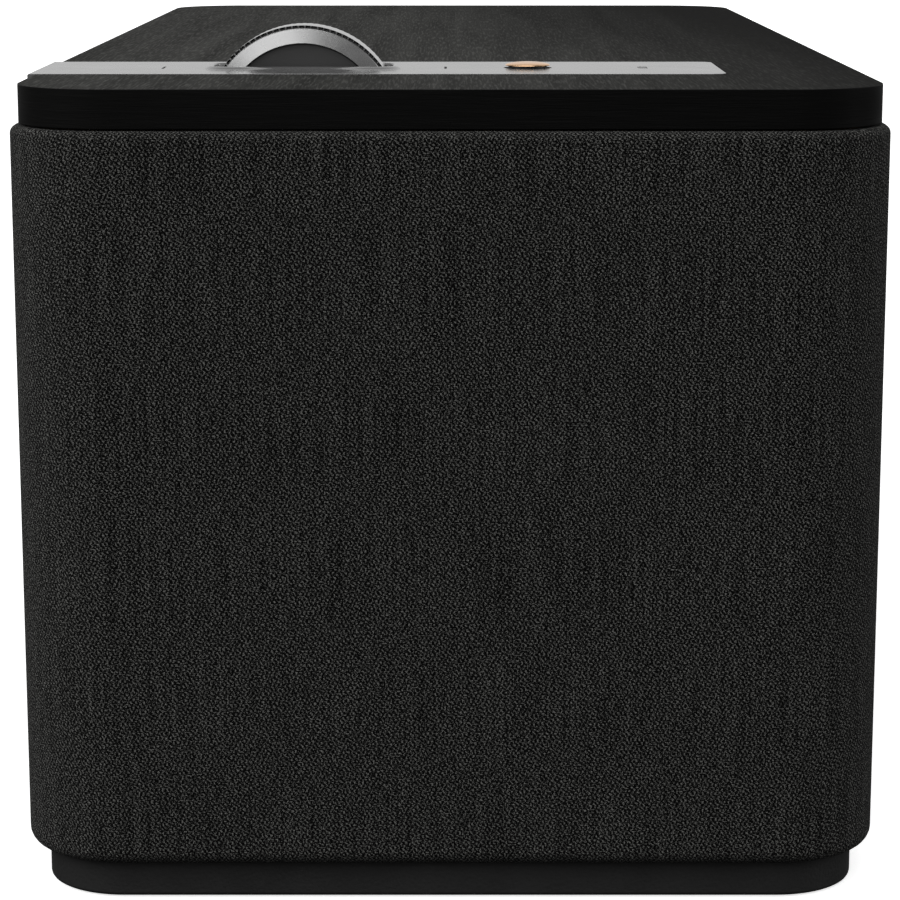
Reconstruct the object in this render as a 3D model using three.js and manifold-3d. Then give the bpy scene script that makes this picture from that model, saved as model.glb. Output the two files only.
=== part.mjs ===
// A compact powered tabletop speaker with its own subwoofer driver, in millimetres, +Z up.
// The origin is on the floor, under the middle of the cabinet. +X is the connection side, -X the
// listening side, and the control strip with the volume wheel lies near the -Y end of the top.
import * as THREE from 'three';
import { mergeVertices } from 'three/addons/utils/BufferGeometryUtils.js';
import Module from 'manifold-3d';

const wasm = await Module();
wasm.setup();

// ---- Driving dimensions ----------------------------------------------------------------------
const WIDTH = 150; // X, over the cloth
const LENGTH = 319.5; // Y, over the cloth
const CORNER = 18; // vertical corner radius of the cloth
const FIT = 0.3; // gap between pieces that rest on or fit into each other

const FOOT_PROUD = 0.6; // rubber feet stand this far below the plinth
const BASE_TOP = 6.6;
const BASE_INSET = 3.5; // plinth behind the cloth, all round
const CLOTH_BOTTOM = 6.9;
const CLOTH_TOP = 133.8;
const CLOTH_THICKNESS = 0.8;
const TOP_EDGE = 1.5; // rolled edges of the cloth sleeve
const BOTTOM_EDGE = 2.6;
const GRILLE_THICKNESS = 2.2;
const SLAB_BOTTOM = 134.1;
const SLAB_TOP = 140.7;
const SLAB_INSET = 1.5;
const SLAB_EDGE = 0.2;

const CABINET_INSET = 11; // cabinet walls behind the cloth, leaving room for the cones to move
const WALL = 5;
const FLOOR_THICKNESS = 4;
const LID_BOTTOM = 129.8;
const DRIVER_Z = 70.5;
const FULL_RANGE_Y = 98; // full-range drivers either side of the woofer
const WOOFER_HOLE = 49;
const FULL_RANGE_HOLE = 25.7;
const RADIATOR_HOLE = 45;

const STRIP_Y = -104.75; // centre line of the control strip, wheel, button and lights
const STRIP_WIDTH = 34;
const STRIP_THICKNESS = 1;
const STRIP_LEFT = -74.9; // outer face of the flange that hangs over the slab's side
const STRIP_RIGHT = 49;
const STRIP_CORNER = 2.5;
const STRIP_PROUD = 0.1;
const STRIP_BEND = 0.5;
const STRIP_TOP = SLAB_TOP + STRIP_PROUD;
const STRIP_BOTTOM = STRIP_TOP - STRIP_THICKNESS;

const WHEEL_X = -26.8;
const WHEEL_Z = SLAB_TOP - 9.8;
const WHEEL_RADIUS = 17.8; // over the knurled band
const WHEEL_FACE_RADIUS = 17.2;
const WHEEL_FACE_INNER = 14.5;
const WHEEL_WIDTH = 10;
const AXLE_RADIUS = 2;
const SLOT_LEFT = -43.2;
const SLOT_RIGHT = -10.5;
const SLOT_WIDTH = 11;
const SLOT_CORNER = 2.8;
const LIP_WALL = 1.3;
const LIP_HEIGHT = 0.6;

const BUTTON_X = 14.1;
const BUTTON_RADIUS = 4.1;
const TICK_XS = [-52.4, -0.9]; // slits over the two light guides
const LENS_X = 35.1;
const TICK = { width: 0.44, length: 6 };
const LENS = { width: 1.6, length: 5.6, gap: 0.3 };

const POD = { left: -56, right: 45, near: -120, far: -89.5, bottom: 108, top: 133.8, wall: 2 };
const BOARD_BOTTOM = POD.top + FIT;
const BOARD_TOP = BOARD_BOTTOM + 1.6;
const WHEEL_OPENING = { left: -46, right: -7.6, near: -115.5, far: -94.2 }; // in the board
const SWITCH_TOP = 138.2;
const BUTTON_STEM_BOTTOM = 138.85;
const ENCODER = { half: 6, bottom: 122 };

const PANEL = { length: 112, height: 46, z: 38, corner: 6, face: 74, skin: 2 };
const INLET = { y: -34, z: 38, width: 15, height: 8.8, depth: 9.5, pins: [-4.3, 4.3] };
const ROCKER = { y: -10, z: 38, width: 11, height: 17, tilt: 6, x: 70 };
const PAIRING = { y: 12, z: 38, radius: 3 };
const AUX_JACK = { y: 26, z: 38, radius: 4 };
const USB_PORT = { y: 40, z: 38 };
const REAR_OPENING = { half: 50, bottom: 22, top: 54 }; // behind the panel, in the rear board
const AMPLIFIER = { x: 50, thickness: 1.6, half: 52, bottom: 16, top: 60 };
const HEATSINK = { left: 36, right: 49.7, near: -44, fin: 3, pitch: 5.5, fins: 7, bottom: 20, top: 56 };
const TRANSFORMER = { x: 40.4, y: 22, z: 38 };
const GRILLE_WINDOWS = { front: 134, end: 50, bottom: 18, top: 123, pitch: 13, bar: 4 };

// Places past the part on every side, where cutting tools may start and stop.
const BELOW = -10;
const ABOVE = 160;
const BESIDE = 90;
const PANEL_CUT = [60, 80]; // along X, through the connection panel

const FINISHES = {
  cloth: { color: 0x232323, roughness: 0.95, metalness: 0 },
  wood: { color: 0x14120f, roughness: 0.55, metalness: 0 },
  fibreboard: { color: 0x6a5440, roughness: 0.9, metalness: 0 },
  blackPlastic: { color: 0x161616, roughness: 0.6, metalness: 0 },
  basePlastic: { color: 0x1c1c1c, roughness: 0.7, metalness: 0 },
  rubber: { color: 0x101010, roughness: 0.9, metalness: 0 },
  aluminium: { color: 0xb5b5b3, roughness: 0.35, metalness: 1 },
  copper: { color: 0xe0a070, roughness: 0.25, metalness: 1 },
  steel: { color: 0x8a8c8e, roughness: 0.35, metalness: 1 },
  ferrite: { color: 0x303235, roughness: 0.8, metalness: 0 },
  cone: { color: 0x26282a, roughness: 0.8, metalness: 0 },
  circuit: { color: 0x1d4a2c, roughness: 0.6, metalness: 0 },
  lens: { color: 0xcfd2d4, roughness: 0.3, metalness: 0 },
};

// ---- Shapes ----------------------------------------------------------------------------------
function solidOf(geometry) {
  const bare = geometry.clone();
  bare.deleteAttribute('normal');
  bare.deleteAttribute('uv');
  const merged = mergeVertices(bare);
  const index = merged.index.array;
  const triangles = [];
  for (let i = 0; i < index.length; i += 3) {
    const [a, b, c] = [index[i], index[i + 1], index[i + 2]];
    if (a !== b && b !== c && c !== a) triangles.push(a, b, c);
  }
  return new wasm.Manifold(new wasm.Mesh({
    numProp: 3,
    vertProperties: Float32Array.from(merged.attributes.position.array),
    triVerts: Uint32Array.from(triangles),
  }));
}

function geometryOf(solid) {
  const mesh = solid.getMesh();
  const geometry = new THREE.BufferGeometry();
  geometry.setAttribute('position', new THREE.BufferAttribute(mesh.vertProperties, 3));
  geometry.setIndex(new THREE.BufferAttribute(mesh.triVerts, 1));
  geometry.computeVertexNormals();
  return geometry;
}

const join = (first, ...others) => others.reduce((sum, other) => sum.add(other), first);
const cut = (first, ...tools) => tools.reduce((rest, tool) => rest.subtract(tool), first);

function block(x0, x1, y0, y1, z0, z1) {
  const geometry = new THREE.BoxGeometry(x1 - x0, y1 - y0, z1 - z0);
  return solidOf(geometry.translate((x0 + x1) / 2, (y0 + y1) / 2, (z0 + z1) / 2));
}

// A rectangle with rounded corners, centred on (x, y).
function roundedOutline(width, height, radius, x = 0, y = 0) {
  const [left, right] = [x - width / 2, x + width / 2];
  const [low, high] = [y - height / 2, y + height / 2];
  const shape = new THREE.Shape();
  shape.moveTo(left + radius, low);
  shape.lineTo(right - radius, low);
  shape.absarc(right - radius, low + radius, radius, -Math.PI / 2, 0, false);
  shape.lineTo(right, high - radius);
  shape.absarc(right - radius, high - radius, radius, 0, Math.PI / 2, false);
  shape.lineTo(left + radius, high);
  shape.absarc(left + radius, high - radius, radius, Math.PI / 2, Math.PI, false);
  shape.lineTo(left, low + radius);
  shape.absarc(left + radius, low + radius, radius, Math.PI, Math.PI * 1.5, false);
  return shape;
}

// An outline with half-round ends. It lies along x, or along y where that side is longer.
function stadium(width, height, x, y) {
  const radius = Math.min(width, height) / 2;
  const [alongX, alongY] = [width / 2 - radius, height / 2 - radius];
  const start = alongX > 0 ? -Math.PI / 2 : 0;
  const shape = new THREE.Shape();
  shape.absarc(x + alongX, y + alongY, radius, start, start + Math.PI, false);
  shape.absarc(x - alongX, y - alongY, radius, start + Math.PI, start + 2 * Math.PI, false);
  return shape;
}

// An upright prism, with both its edges rounded by `edge`.
function prism(shape, low, high, { edge = 0, segments = 3, edgeSteps = 1 } = {}) {
  const geometry = new THREE.ExtrudeGeometry(shape, {
    depth: high - low - 2 * edge,
    curveSegments: segments,
    bevelEnabled: edge > 0,
    bevelSize: edge,
    bevelThickness: edge,
    bevelOffset: -edge,
    bevelSegments: edgeSteps,
  });
  return solidOf(geometry.translate(0, 0, low + edge));
}

// A prism along X: the outline's x runs along Y and its y along Z.
function prismAlongX(shape, low, high, segments = 3) {
  const geometry = new THREE.ExtrudeGeometry(shape, {
    depth: high - low,
    curveSegments: segments,
    bevelEnabled: false,
  });
  geometry.rotateX(Math.PI / 2).rotateZ(Math.PI / 2);
  return solidOf(geometry.translate(low, 0, 0));
}

// A prism along Y: the outline's x runs along X and its y along Z.
function prismAlongY(shape, low, high, segments = 3) {
  const geometry = new THREE.ExtrudeGeometry(shape, {
    depth: high - low,
    curveSegments: segments,
    bevelEnabled: false,
  });
  return solidOf(geometry.rotateX(Math.PI / 2).translate(0, high, 0));
}

// A round bar along an axis, between two places on it, through the centre [x, y, z].
function rod(axis, radius, from, to, centre, segments = 20) {
  const geometry = new THREE.CylinderGeometry(radius, radius, to - from, segments);
  geometry.translate(0, (from + to) / 2, 0);
  if (axis === 'x') geometry.rotateZ(-Math.PI / 2);
  if (axis === 'z') geometry.rotateX(Math.PI / 2);
  return solidOf(geometry.translate(...centre));
}

// A solid of revolution about +Z from [radius, height] points. A profile that stays off the axis
// is closed on itself.
function revolve(profile, segments = 20) {
  const area = profile.reduce((sum, [r, z], i) => {
    const [nextR, nextZ] = profile[(i + 1) % profile.length];
    return sum + r * nextZ - nextR * z;
  }, 0);
  const ordered = area > 0 ? [...profile] : [...profile].reverse();
  const onAxis = ordered.some(([r]) => r === 0);
  if (onAxis) {
    while (ordered[0][0] !== 0 || ordered[ordered.length - 1][0] !== 0) ordered.push(ordered.shift());
  } else {
    ordered.push(ordered[0]);
  }
  const points = ordered.map(([r, z]) => new THREE.Vector2(r, z));
  return solidOf(new THREE.LatheGeometry(points, segments).rotateX(Math.PI / 2));
}

// The outline seen from above at a distance behind the cloth, and the prism on it.
function plan(inset) {
  return roundedOutline(WIDTH - 2 * inset, LENGTH - 2 * inset, CORNER - inset);
}

// ---- Parts -----------------------------------------------------------------------------------
const speaker = new THREE.Group();

function place(parent, name, solid, finish) {
  const mesh = new THREE.Mesh(geometryOf(solid), new THREE.MeshStandardMaterial(FINISHES[finish]));
  mesh.name = name;
  parent.add(mesh);
  return mesh;
}

const FOOT = { x: 50, y: 136, length: 34, width: 12, pocket: 1.2 };
const BASE_SCREWS = [[-1, -1], [1, -1], [-1, 1], [1, 1]].map(([x, y]) => [x * 56, y * 108]);
const SCREW = { head: 3.2, shank: 1.5, hole: 1.8, counterbore: 3.6 };
const PLINTH_SKIN_TOP = 4;

function footOutline(x, y, growth = 0) {
  return stadium(FOOT.length + 2 * growth, FOOT.width + 2 * growth, x, y);
}

function footCentres() {
  return [[-1, -1], [1, -1], [-1, 1], [1, 1]].map(([x, y]) => [x * FOOT.x, y * FOOT.y]);
}

function basePlinth() {
  let base = prism(plan(BASE_INSET), FOOT_PROUD, BASE_TOP, { edge: 0.8 });
  base = cut(base, prism(plan(BASE_INSET + 3), PLINTH_SKIN_TOP, BASE_TOP + 1));
  base = cut(base, prism(plan(BASE_INSET + 4), FOOT_PROUD - 1, FOOT_PROUD + 0.5));
  for (const [x, y] of footCentres()) {
    base = cut(base, prism(footOutline(x, y, FIT), 0, FOOT_PROUD + 0.5 + FOOT.pocket));
  }
  for (const [x, y] of BASE_SCREWS) {
    base = join(base, rod('z', SCREW.counterbore + 1.5, 3, BASE_TOP, [x, y, 0], 12));
    base = cut(base, rod('z', SCREW.hole, 0, 9, [x, y, 0], 10));
    base = cut(base, rod('z', SCREW.counterbore, 0, 3.2, [x, y, 0], 16));
  }
  return base;
}

function screw(headBottom, headTop, tip) {
  return revolve([
    [0, headBottom + 0.9], [1.1, headBottom + 0.9], [1.1, headBottom], [SCREW.head - 0.5, headBottom],
    [SCREW.head, headBottom + 0.5], [SCREW.head, headTop], [SCREW.shank, headTop],
    [SCREW.shank, tip - 1], [0, tip],
  ], 12);
}

// A window with upright bars, cut through one side of the grille frame.
function grilleWindow(side, halfLength) {
  const { pitch, bar, bottom: low, top: high } = GRILLE_WINDOWS;
  const count = Math.floor((2 * halfLength + bar) / pitch);
  const tools = [];
  for (let i = 0; i < count; i += 1) {
    const centre = (i - (count - 1) / 2) * pitch;
    const half = (pitch - bar) / 2;
    const [near, far] = [centre - half, centre + half];
    if (side === 'front') tools.push(block(-BESIDE, 10 - WIDTH / 2, near, far, low, high));
    if (side === 'near') tools.push(block(near, far, -LENGTH, 10 - LENGTH / 2, low, high));
    if (side === 'far') tools.push(block(near, far, LENGTH / 2 - 10, LENGTH, low, high));
  }
  return tools;
}

function panelOutline(growth) {
  const { length, height, corner, z } = PANEL;
  return roundedOutline(length + 2 * growth, height + 2 * growth, corner + growth, 0, z);
}

const GRILLE_INSET = CLOTH_THICKNESS + FIT;
const GRILLE_INNER = GRILLE_INSET + GRILLE_THICKNESS;
const GRILLE_BOTTOM = CLOTH_BOTTOM + CLOTH_THICKNESS + FIT;
const GRILLE_TOP = CLOTH_TOP - CLOTH_THICKNESS - FIT;

// A prism whose bottom and top edges are rounded differently.
function sleeveBody(inset, low, high, lowEdge, highEdge) {
  const margin = 10;
  const roundedBelow = prism(plan(inset), low, high + margin, { edge: lowEdge, segments: 4 });
  const roundedAbove = prism(plan(inset), low - margin, high, { edge: highEdge, segments: 4 });
  return roundedBelow.intersect(roundedAbove);
}

function grilleFrame() {
  const body = sleeveBody(GRILLE_INSET, GRILLE_BOTTOM, GRILLE_TOP, 1.5, 0.5);
  const bore = prism(plan(GRILLE_INNER), BELOW, ABOVE, { segments: 4 });
  return cut(
    body,
    bore,
    ...grilleWindow('front', GRILLE_WINDOWS.front),
    ...grilleWindow('near', GRILLE_WINDOWS.end),
    ...grilleWindow('far', GRILLE_WINDOWS.end),
    prismAlongX(panelOutline(FIT), ...PANEL_CUT),
  );
}

function grilleCloth() {
  const outside = sleeveBody(0, CLOTH_BOTTOM, CLOTH_TOP, BOTTOM_EDGE, TOP_EDGE);
  const room = sleeveBody(
    CLOTH_THICKNESS, CLOTH_BOTTOM + CLOTH_THICKNESS, CLOTH_TOP - CLOTH_THICKNESS, 1.8, 0.7,
  );
  const bore = prism(plan(GRILLE_INNER), BELOW, ABOVE, { segments: 4 });
  return cut(outside, room, bore, prismAlongX(panelOutline(FIT), ...PANEL_CUT));
}

const CABINET_X = WIDTH / 2 - CABINET_INSET;
const CABINET_Y = LENGTH / 2 - CABINET_INSET;
const FLANGE_INSET = GRILLE_INNER + FIT;

const FLOOR_TOP = CLOTH_BOTTOM + FLOOR_THICKNESS;
const WALL_BOTTOM = FLOOR_TOP + FIT;
const WALL_TOP = LID_BOTTOM - FIT;

function cabinetFloor() {
  const floor = prism(plan(FLANGE_INSET), CLOTH_BOTTOM, FLOOR_TOP);
  return cut(floor, ...BASE_SCREWS.map(([x, y]) => rod('z', SCREW.hole, BELOW, ABOVE, [x, y, 0], 10)));
}

// The two long boards run the cabinet's full length, and the end boards fit between them.
function longBoard(side) {
  const outer = side * CABINET_X;
  const inner = side * (CABINET_X - WALL);
  const [x0, x1] = [Math.min(outer, inner), Math.max(outer, inner)];
  return block(x0, x1, -CABINET_Y, CABINET_Y, WALL_BOTTOM, WALL_TOP);
}

function frontBaffle() {
  const driverHole = (radius, y, segments) => rod('x', radius, -BESIDE, 0, [0, y, DRIVER_Z], segments);
  return cut(
    longBoard(-1),
    driverHole(WOOFER_HOLE, 0, 28),
    driverHole(FULL_RANGE_HOLE, -FULL_RANGE_Y, 20),
    driverHole(FULL_RANGE_HOLE, FULL_RANGE_Y, 20),
  );
}

function rearBoard() {
  const { half, bottom, top } = REAR_OPENING;
  return cut(longBoard(1), block(0, BESIDE, -half, half, bottom, top));
}

function endBoard(side) {
  const halfWidth = CABINET_X - WALL - FIT;
  const outer = side * CABINET_Y;
  const inner = side * (CABINET_Y - WALL);
  const [y0, y1] = [Math.min(outer, inner), Math.max(outer, inner)];
  const board = block(-halfWidth, halfWidth, y0, y1, WALL_BOTTOM, WALL_TOP);
  return cut(board, rod('y', RADIATOR_HOLE, y0 - WALL, y1 + WALL, [0, 0, DRIVER_Z]));
}

function podOutline(growth) {
  const { left, right, near, far } = POD;
  return [left - growth, right + growth, near - growth, far + growth];
}

function cabinetLid() {
  const lid = prism(plan(FLANGE_INSET), LID_BOTTOM, CLOTH_TOP);
  return cut(lid, block(...podOutline(FIT), BELOW, ABOVE));
}

function topSlab() {
  const slab = prism(plan(SLAB_INSET), SLAB_BOTTOM, SLAB_TOP, { edge: SLAB_EDGE, segments: 5 });
  const channel = roundedOutline(
    WIDTH, STRIP_WIDTH + 2 * FIT, STRIP_CORNER + FIT, STRIP_RIGHT + FIT - WIDTH / 2, STRIP_Y,
  );
  return cut(
    slab,
    prism(channel, STRIP_BOTTOM - FIT, ABOVE),
    block(...podOutline(FIT), BELOW, ABOVE),
  );
}

function controlStrip() {
  const left = STRIP_LEFT;
  const section = new THREE.Shape();
  section.moveTo(STRIP_RIGHT, STRIP_BOTTOM);
  section.lineTo(STRIP_RIGHT, STRIP_TOP);
  section.lineTo(left + STRIP_BEND, STRIP_TOP);
  section.absarc(left + STRIP_BEND, STRIP_TOP - STRIP_BEND, STRIP_BEND, Math.PI / 2, Math.PI, false);
  section.lineTo(left, SLAB_BOTTOM);
  section.lineTo(left + STRIP_THICKNESS, SLAB_BOTTOM);
  section.lineTo(left + STRIP_THICKNESS, STRIP_BOTTOM);
  const half = STRIP_WIDTH / 2;
  const bent = prismAlongY(section, STRIP_Y - half, STRIP_Y + half);
  const cornered = prism(
    roundedOutline(WIDTH, STRIP_WIDTH, STRIP_CORNER, STRIP_RIGHT - WIDTH / 2, STRIP_Y), BELOW, ABOVE,
  );
  const slot = (growth) => roundedOutline(
    SLOT_RIGHT - SLOT_LEFT + 2 * growth, SLOT_WIDTH + 2 * growth, SLOT_CORNER + growth,
    (SLOT_LEFT + SLOT_RIGHT) / 2, STRIP_Y,
  );
  const lip = prism(slot(LIP_WALL), STRIP_BOTTOM - 0.5, STRIP_TOP + LIP_HEIGHT, { edge: 0.45 });
  const aboveBottom = block(-BESIDE, BESIDE, -LENGTH, 0, STRIP_BOTTOM, ABOVE);
  return cut(
    join(bent.intersect(cornered), lip.intersect(aboveBottom)),
    prism(slot(0), BELOW, ABOVE),
    rod('z', BUTTON_RADIUS + FIT, BELOW, ABOVE, [BUTTON_X, STRIP_Y, 0], 20),
    ...TICK_XS.map((x) => block(
      x - TICK.width / 2, x + TICK.width / 2, STRIP_Y - TICK.length / 2, STRIP_Y + TICK.length / 2,
      BELOW, ABOVE,
    )),
    prism(
      stadium(LENS.width + 2 * LENS.gap, LENS.length + 2 * LENS.gap, LENS_X, STRIP_Y), BELOW, ABOVE,
      { segments: 4 },
    ),
  );
}

const EAR = {
  half: 5,
  top: 133.6,
  near: [STRIP_Y - 9.8, STRIP_Y - 7.3],
  far: [STRIP_Y + 7.3, STRIP_Y + 9.5],
};

function controlPod() {
  const { left, right, near, far, bottom, top, wall } = POD;
  let pod = cut(
    block(left, right, near, far, bottom, top),
    block(left + wall, right - wall, near + wall, far - wall, bottom + wall, top + 1),
  );
  for (const [low, high] of [EAR.near, EAR.far]) {
    pod = join(pod, block(WHEEL_X - EAR.half, WHEEL_X + EAR.half, low, high, bottom + 1, EAR.top));
  }
  return cut(pod, rod('y', AXLE_RADIUS + FIT, EAR.near[0] - 1, EAR.far[1] + 1, [WHEEL_X, 0, WHEEL_Z], 20));
}

function wheelRim() {
  const half = WHEEL_WIDTH / 2;
  const upper = [
    [WHEEL_FACE_INNER - 0.6, half - 0.7], [WHEEL_FACE_INNER, half - 0.7], [WHEEL_FACE_INNER, half],
    [WHEEL_FACE_RADIUS, half], [WHEEL_FACE_RADIUS, half - 1], [WHEEL_RADIUS, half - 1.3],
  ];
  const lower = upper.map(([r, z]) => [r, -z]).reverse();
  return revolve([...upper, ...lower], 40);
}

function wheelHub() {
  const half = WHEEL_WIDTH / 2 - 1;
  const bore = AXLE_RADIUS + FIT;
  const rim = WHEEL_FACE_INNER - 0.6 - FIT;
  return revolve([[bore, -half], [rim, -half], [rim, half], [bore, half]], 28);
}

function turned(solid) {
  return solidOf(geometryOf(solid).rotateX(Math.PI / 2).translate(WHEEL_X, STRIP_Y, WHEEL_Z));
}

function controlBoard() {
  const [left, right, near, far] = podOutline(-FIT);
  return cut(
    block(left, right, near, far, BOARD_BOTTOM, BOARD_TOP),
    block(
      WHEEL_OPENING.left, WHEEL_OPENING.right, WHEEL_OPENING.near, WHEEL_OPENING.far, BELOW, ABOVE,
    ),
  );
}

function sourceButton() {
  const rim = SLAB_TOP + 0.77;
  return solidOf(geometryOf(revolve([
    [0, rim + 0.63], [1.4, rim + 0.56], [2.6, rim + 0.38], [3.6, rim + 0.16], [BUTTON_RADIUS, rim],
    [BUTTON_RADIUS, rim - 0.25], [3.1, rim - 0.8], [3.1, rim - 1.8], [2.4, rim - 1.8],
    [2.4, BUTTON_STEM_BOTTOM], [0, BUTTON_STEM_BOTTOM],
  ], 20)).translate(BUTTON_X, STRIP_Y, 0));
}

// One clear moulding: a bar along the board with a post under each slit and one in the oval window.
function lightGuide() {
  const low = BOARD_TOP + FIT;
  const [barNear, barFar] = [STRIP_Y - 14, STRIP_Y - 12];
  let guide = block(TICK_XS[0] - 0.7, LENS_X + 0.8, barNear, barFar, low, low + 1.2);
  for (const x of TICK_XS) {
    const arm = block(x - 0.7, x + 0.7, barNear, STRIP_Y + 3.6, low, low + 1.2);
    const post = block(x - 0.7, x + 0.7, STRIP_Y - 3.6, STRIP_Y + 3.6, low, STRIP_BOTTOM - FIT);
    guide = join(guide, arm, post);
  }
  const lensArm = block(LENS_X - 0.8, LENS_X + 0.8, barNear, STRIP_Y, low, low + 1.2);
  const lens = prism(
    stadium(LENS.width, LENS.length, LENS_X, STRIP_Y), low, STRIP_TOP - STRIP_PROUD, { segments: 4 },
  );
  return join(guide, lensArm, lens);
}

function addBase() {
  place(speaker, 'base_plinth', basePlinth(), 'basePlastic');
  footCentres().forEach(([x, y], i) => {
    place(speaker, `foot_pad_${i + 1}`, prism(footOutline(x, y), 0, FOOT_PROUD + 1.4), 'rubber');
  });
  BASE_SCREWS.forEach(([x, y], i) => {
    const mesh = place(speaker, `base_screw_${i + 1}`, screw(1.2, 2.9, 10.6), 'steel');
    mesh.position.set(x, y, 0);
  });
}

function addCabinet() {
  place(speaker, 'cabinet_floor', cabinetFloor(), 'fibreboard');
  place(speaker, 'front_baffle', frontBaffle(), 'fibreboard');
  place(speaker, 'rear_board', rearBoard(), 'fibreboard');
  place(speaker, 'end_board_1', endBoard(-1), 'fibreboard');
  place(speaker, 'end_board_2', endBoard(1), 'fibreboard');
  place(speaker, 'cabinet_lid', cabinetLid(), 'fibreboard');
  place(speaker, 'grille_frame', grilleFrame(), 'blackPlastic');
  place(speaker, 'grille_cloth', grilleCloth(), 'cloth');
  place(speaker, 'top_slab', topSlab(), 'wood');
}

function addControls() {
  place(speaker, 'control_strip', controlStrip(), 'aluminium');
  place(speaker, 'control_pod', controlPod(), 'blackPlastic');
  place(speaker, 'control_board', controlBoard(), 'circuit');
  place(speaker, 'wheel_rim', turned(wheelRim()), 'aluminium');
  place(speaker, 'wheel_hub', turned(wheelHub()), 'blackPlastic');
  const axle = rod('y', AXLE_RADIUS, EAR.near[0] - 1.2, EAR.far[1] + 2.2, [WHEEL_X, 0, WHEEL_Z], 20);
  place(speaker, 'wheel_axle', axle, 'steel');
  const encoderNear = EAR.far[1] + FIT;
  place(speaker, 'wheel_encoder', cut(
    block(
      WHEEL_X - ENCODER.half, WHEEL_X + ENCODER.half, encoderNear, POD.far - POD.wall - FIT,
      ENCODER.bottom, EAR.top,
    ),
    rod('y', AXLE_RADIUS + FIT, encoderNear - 1, encoderNear + 2.4, [WHEEL_X, 0, WHEEL_Z], 20),
  ), 'blackPlastic');
  place(speaker, 'source_button', sourceButton(), 'copper');
  place(speaker, 'button_switch', block(
    BUTTON_X - 3, BUTTON_X + 3, STRIP_Y - 3, STRIP_Y + 3, BOARD_TOP + FIT, SWITCH_TOP,
  ), 'blackPlastic');
  place(speaker, 'light_guide', lightGuide(), 'lens');
}

// A rubber half roll between two flat lands, standing forward of z.
function halfRoll({ landInner, inner, outer, landOuter, z, rise, thickness, segments = 20 }) {
  const steps = 3;
  const middle = (inner + outer) / 2;
  const arc = (radius, height) => Array.from({ length: steps + 1 }, (_, i) => {
    const angle = (Math.PI * i) / steps;
    return [middle - radius * Math.cos(angle), height * Math.sin(angle)];
  });
  const under = arc((outer - inner) / 2 - thickness / 2, rise - thickness).map(([r, h]) => [r, z + h]);
  const over = arc((outer - inner) / 2 + thickness / 2, rise - thickness)
    .map(([r, h]) => [r, z + thickness + h]);
  return revolve([[landInner, z], ...under, [landOuter, z], [landOuter, z + thickness],
    ...over.reverse(), [landInner, z + thickness]], segments);
}

// Drivers are drawn facing +Z, with z = 0 on the outer face of the wall that they are screwed to.
function wooferFrame() {
  const basket = revolve([
    [56, FIT], [48.5, FIT], [48.5, -1.5], [36, -28], [36, -32], [13.6, -32], [13.6, -29],
    [33.6, -29], [46.3, -1.5], [46.3, 2.8], [56, 2.8],
  ]);
  const windows = Array.from({ length: 3 }, (_, i) => {
    const bar = new THREE.BoxGeometry(120, 22, 15);
    return solidOf(bar.translate(0, 0, -14).rotateZ((i * Math.PI) / 3));
  });
  return cut(basket, ...windows);
}

function wooferSpider() {
  const [inner, outer, low, thickness, ridges] = [12.5, 34.6, -25.6, 0.6, 2];
  const step = (outer - inner) / (2 * ridges);
  const under = Array.from({ length: 2 * ridges + 1 }, (_, i) => [inner + i * step, low + (i % 2) * 0.9]);
  const over = under.map(([r, z]) => [r, z + thickness]).reverse();
  return revolve([...under, ...over]);
}

function woofer() {
  const group = new THREE.Group();
  place(group, 'woofer_frame', wooferFrame(), 'steel');
  place(group, 'woofer_magnet', revolve([[14, -44.3], [36, -44.3], [36, -32.3], [14, -32.3]]), 'ferrite');
  place(group, 'woofer_yoke', revolve([
    [0, -49.6], [34, -49.6], [34, -44.6], [10.8, -44.6], [10.8, -29.5], [0, -29.5],
  ]), 'steel');
  place(group, 'woofer_cone', revolve([
    [12.5, -18], [41.2, 3.1], [42.1, 3.1], [42.1, 4], [40.9, 4], [12.5, -16.7],
  ]), 'cone');
  place(group, 'woofer_dust_cap', revolve([
    [0, -8], [9, -9.1], [15, -11.2], [17, -12.3], [17, -12.9], [15, -12], [9, -9.9], [0, -8.8],
  ]), 'cone');
  place(group, 'woofer_voice_coil', revolve([[11.2, -38], [12.1, -38], [12.1, -14], [11.2, -14]]), 'copper');
  place(group, 'woofer_surround', halfRoll({
    landInner: 42.4, inner: 43.4, outer: 48.4, landOuter: 54, z: 3.1, rise: 3.2, thickness: 0.9,
  }), 'rubber');
  place(group, 'woofer_spider', wooferSpider(), 'cloth');
  return group;
}

function fullRangeDriver(number) {
  const group = new THREE.Group();
  const name = (piece) => `full_range_${piece}_${number}`;
  place(group, name('frame'), revolve([
    [30, FIT], [25.2, FIT], [25.2, -1], [16, -16], [16, -19], [6.6, -19], [6.6, -17],
    [14.5, -17], [23.4, -1], [23.4, 2.3], [30, 2.3],
  ], 16), 'steel');
  place(group, name('magnet'), revolve([
    [0, -30], [20, -30], [20, -19.3], [7, -19.3], [7, -26], [4.7, -26], [4.7, -19.3], [0, -19.3],
  ], 16), 'ferrite');
  place(group, name('cone'), revolve([
    [0, -1.2], [3, -1.8], [5.6, -4.4], [19.6, 3.4], [20.3, 3.4], [20.3, 2.6], [19.9, 2.6],
    [5.9, -5.4], [5.9, -20.5], [5.2, -20.5], [5.2, -5], [2.6, -2.6], [0, -2],
  ], 16), 'aluminium');
  place(group, name('surround'), halfRoll({
    landInner: 20.6, inner: 21.4, outer: 24.8, landOuter: 28, z: 2.6, rise: 2.4, thickness: 0.7, segments: 16,
  }), 'rubber');
  return group;
}

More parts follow.
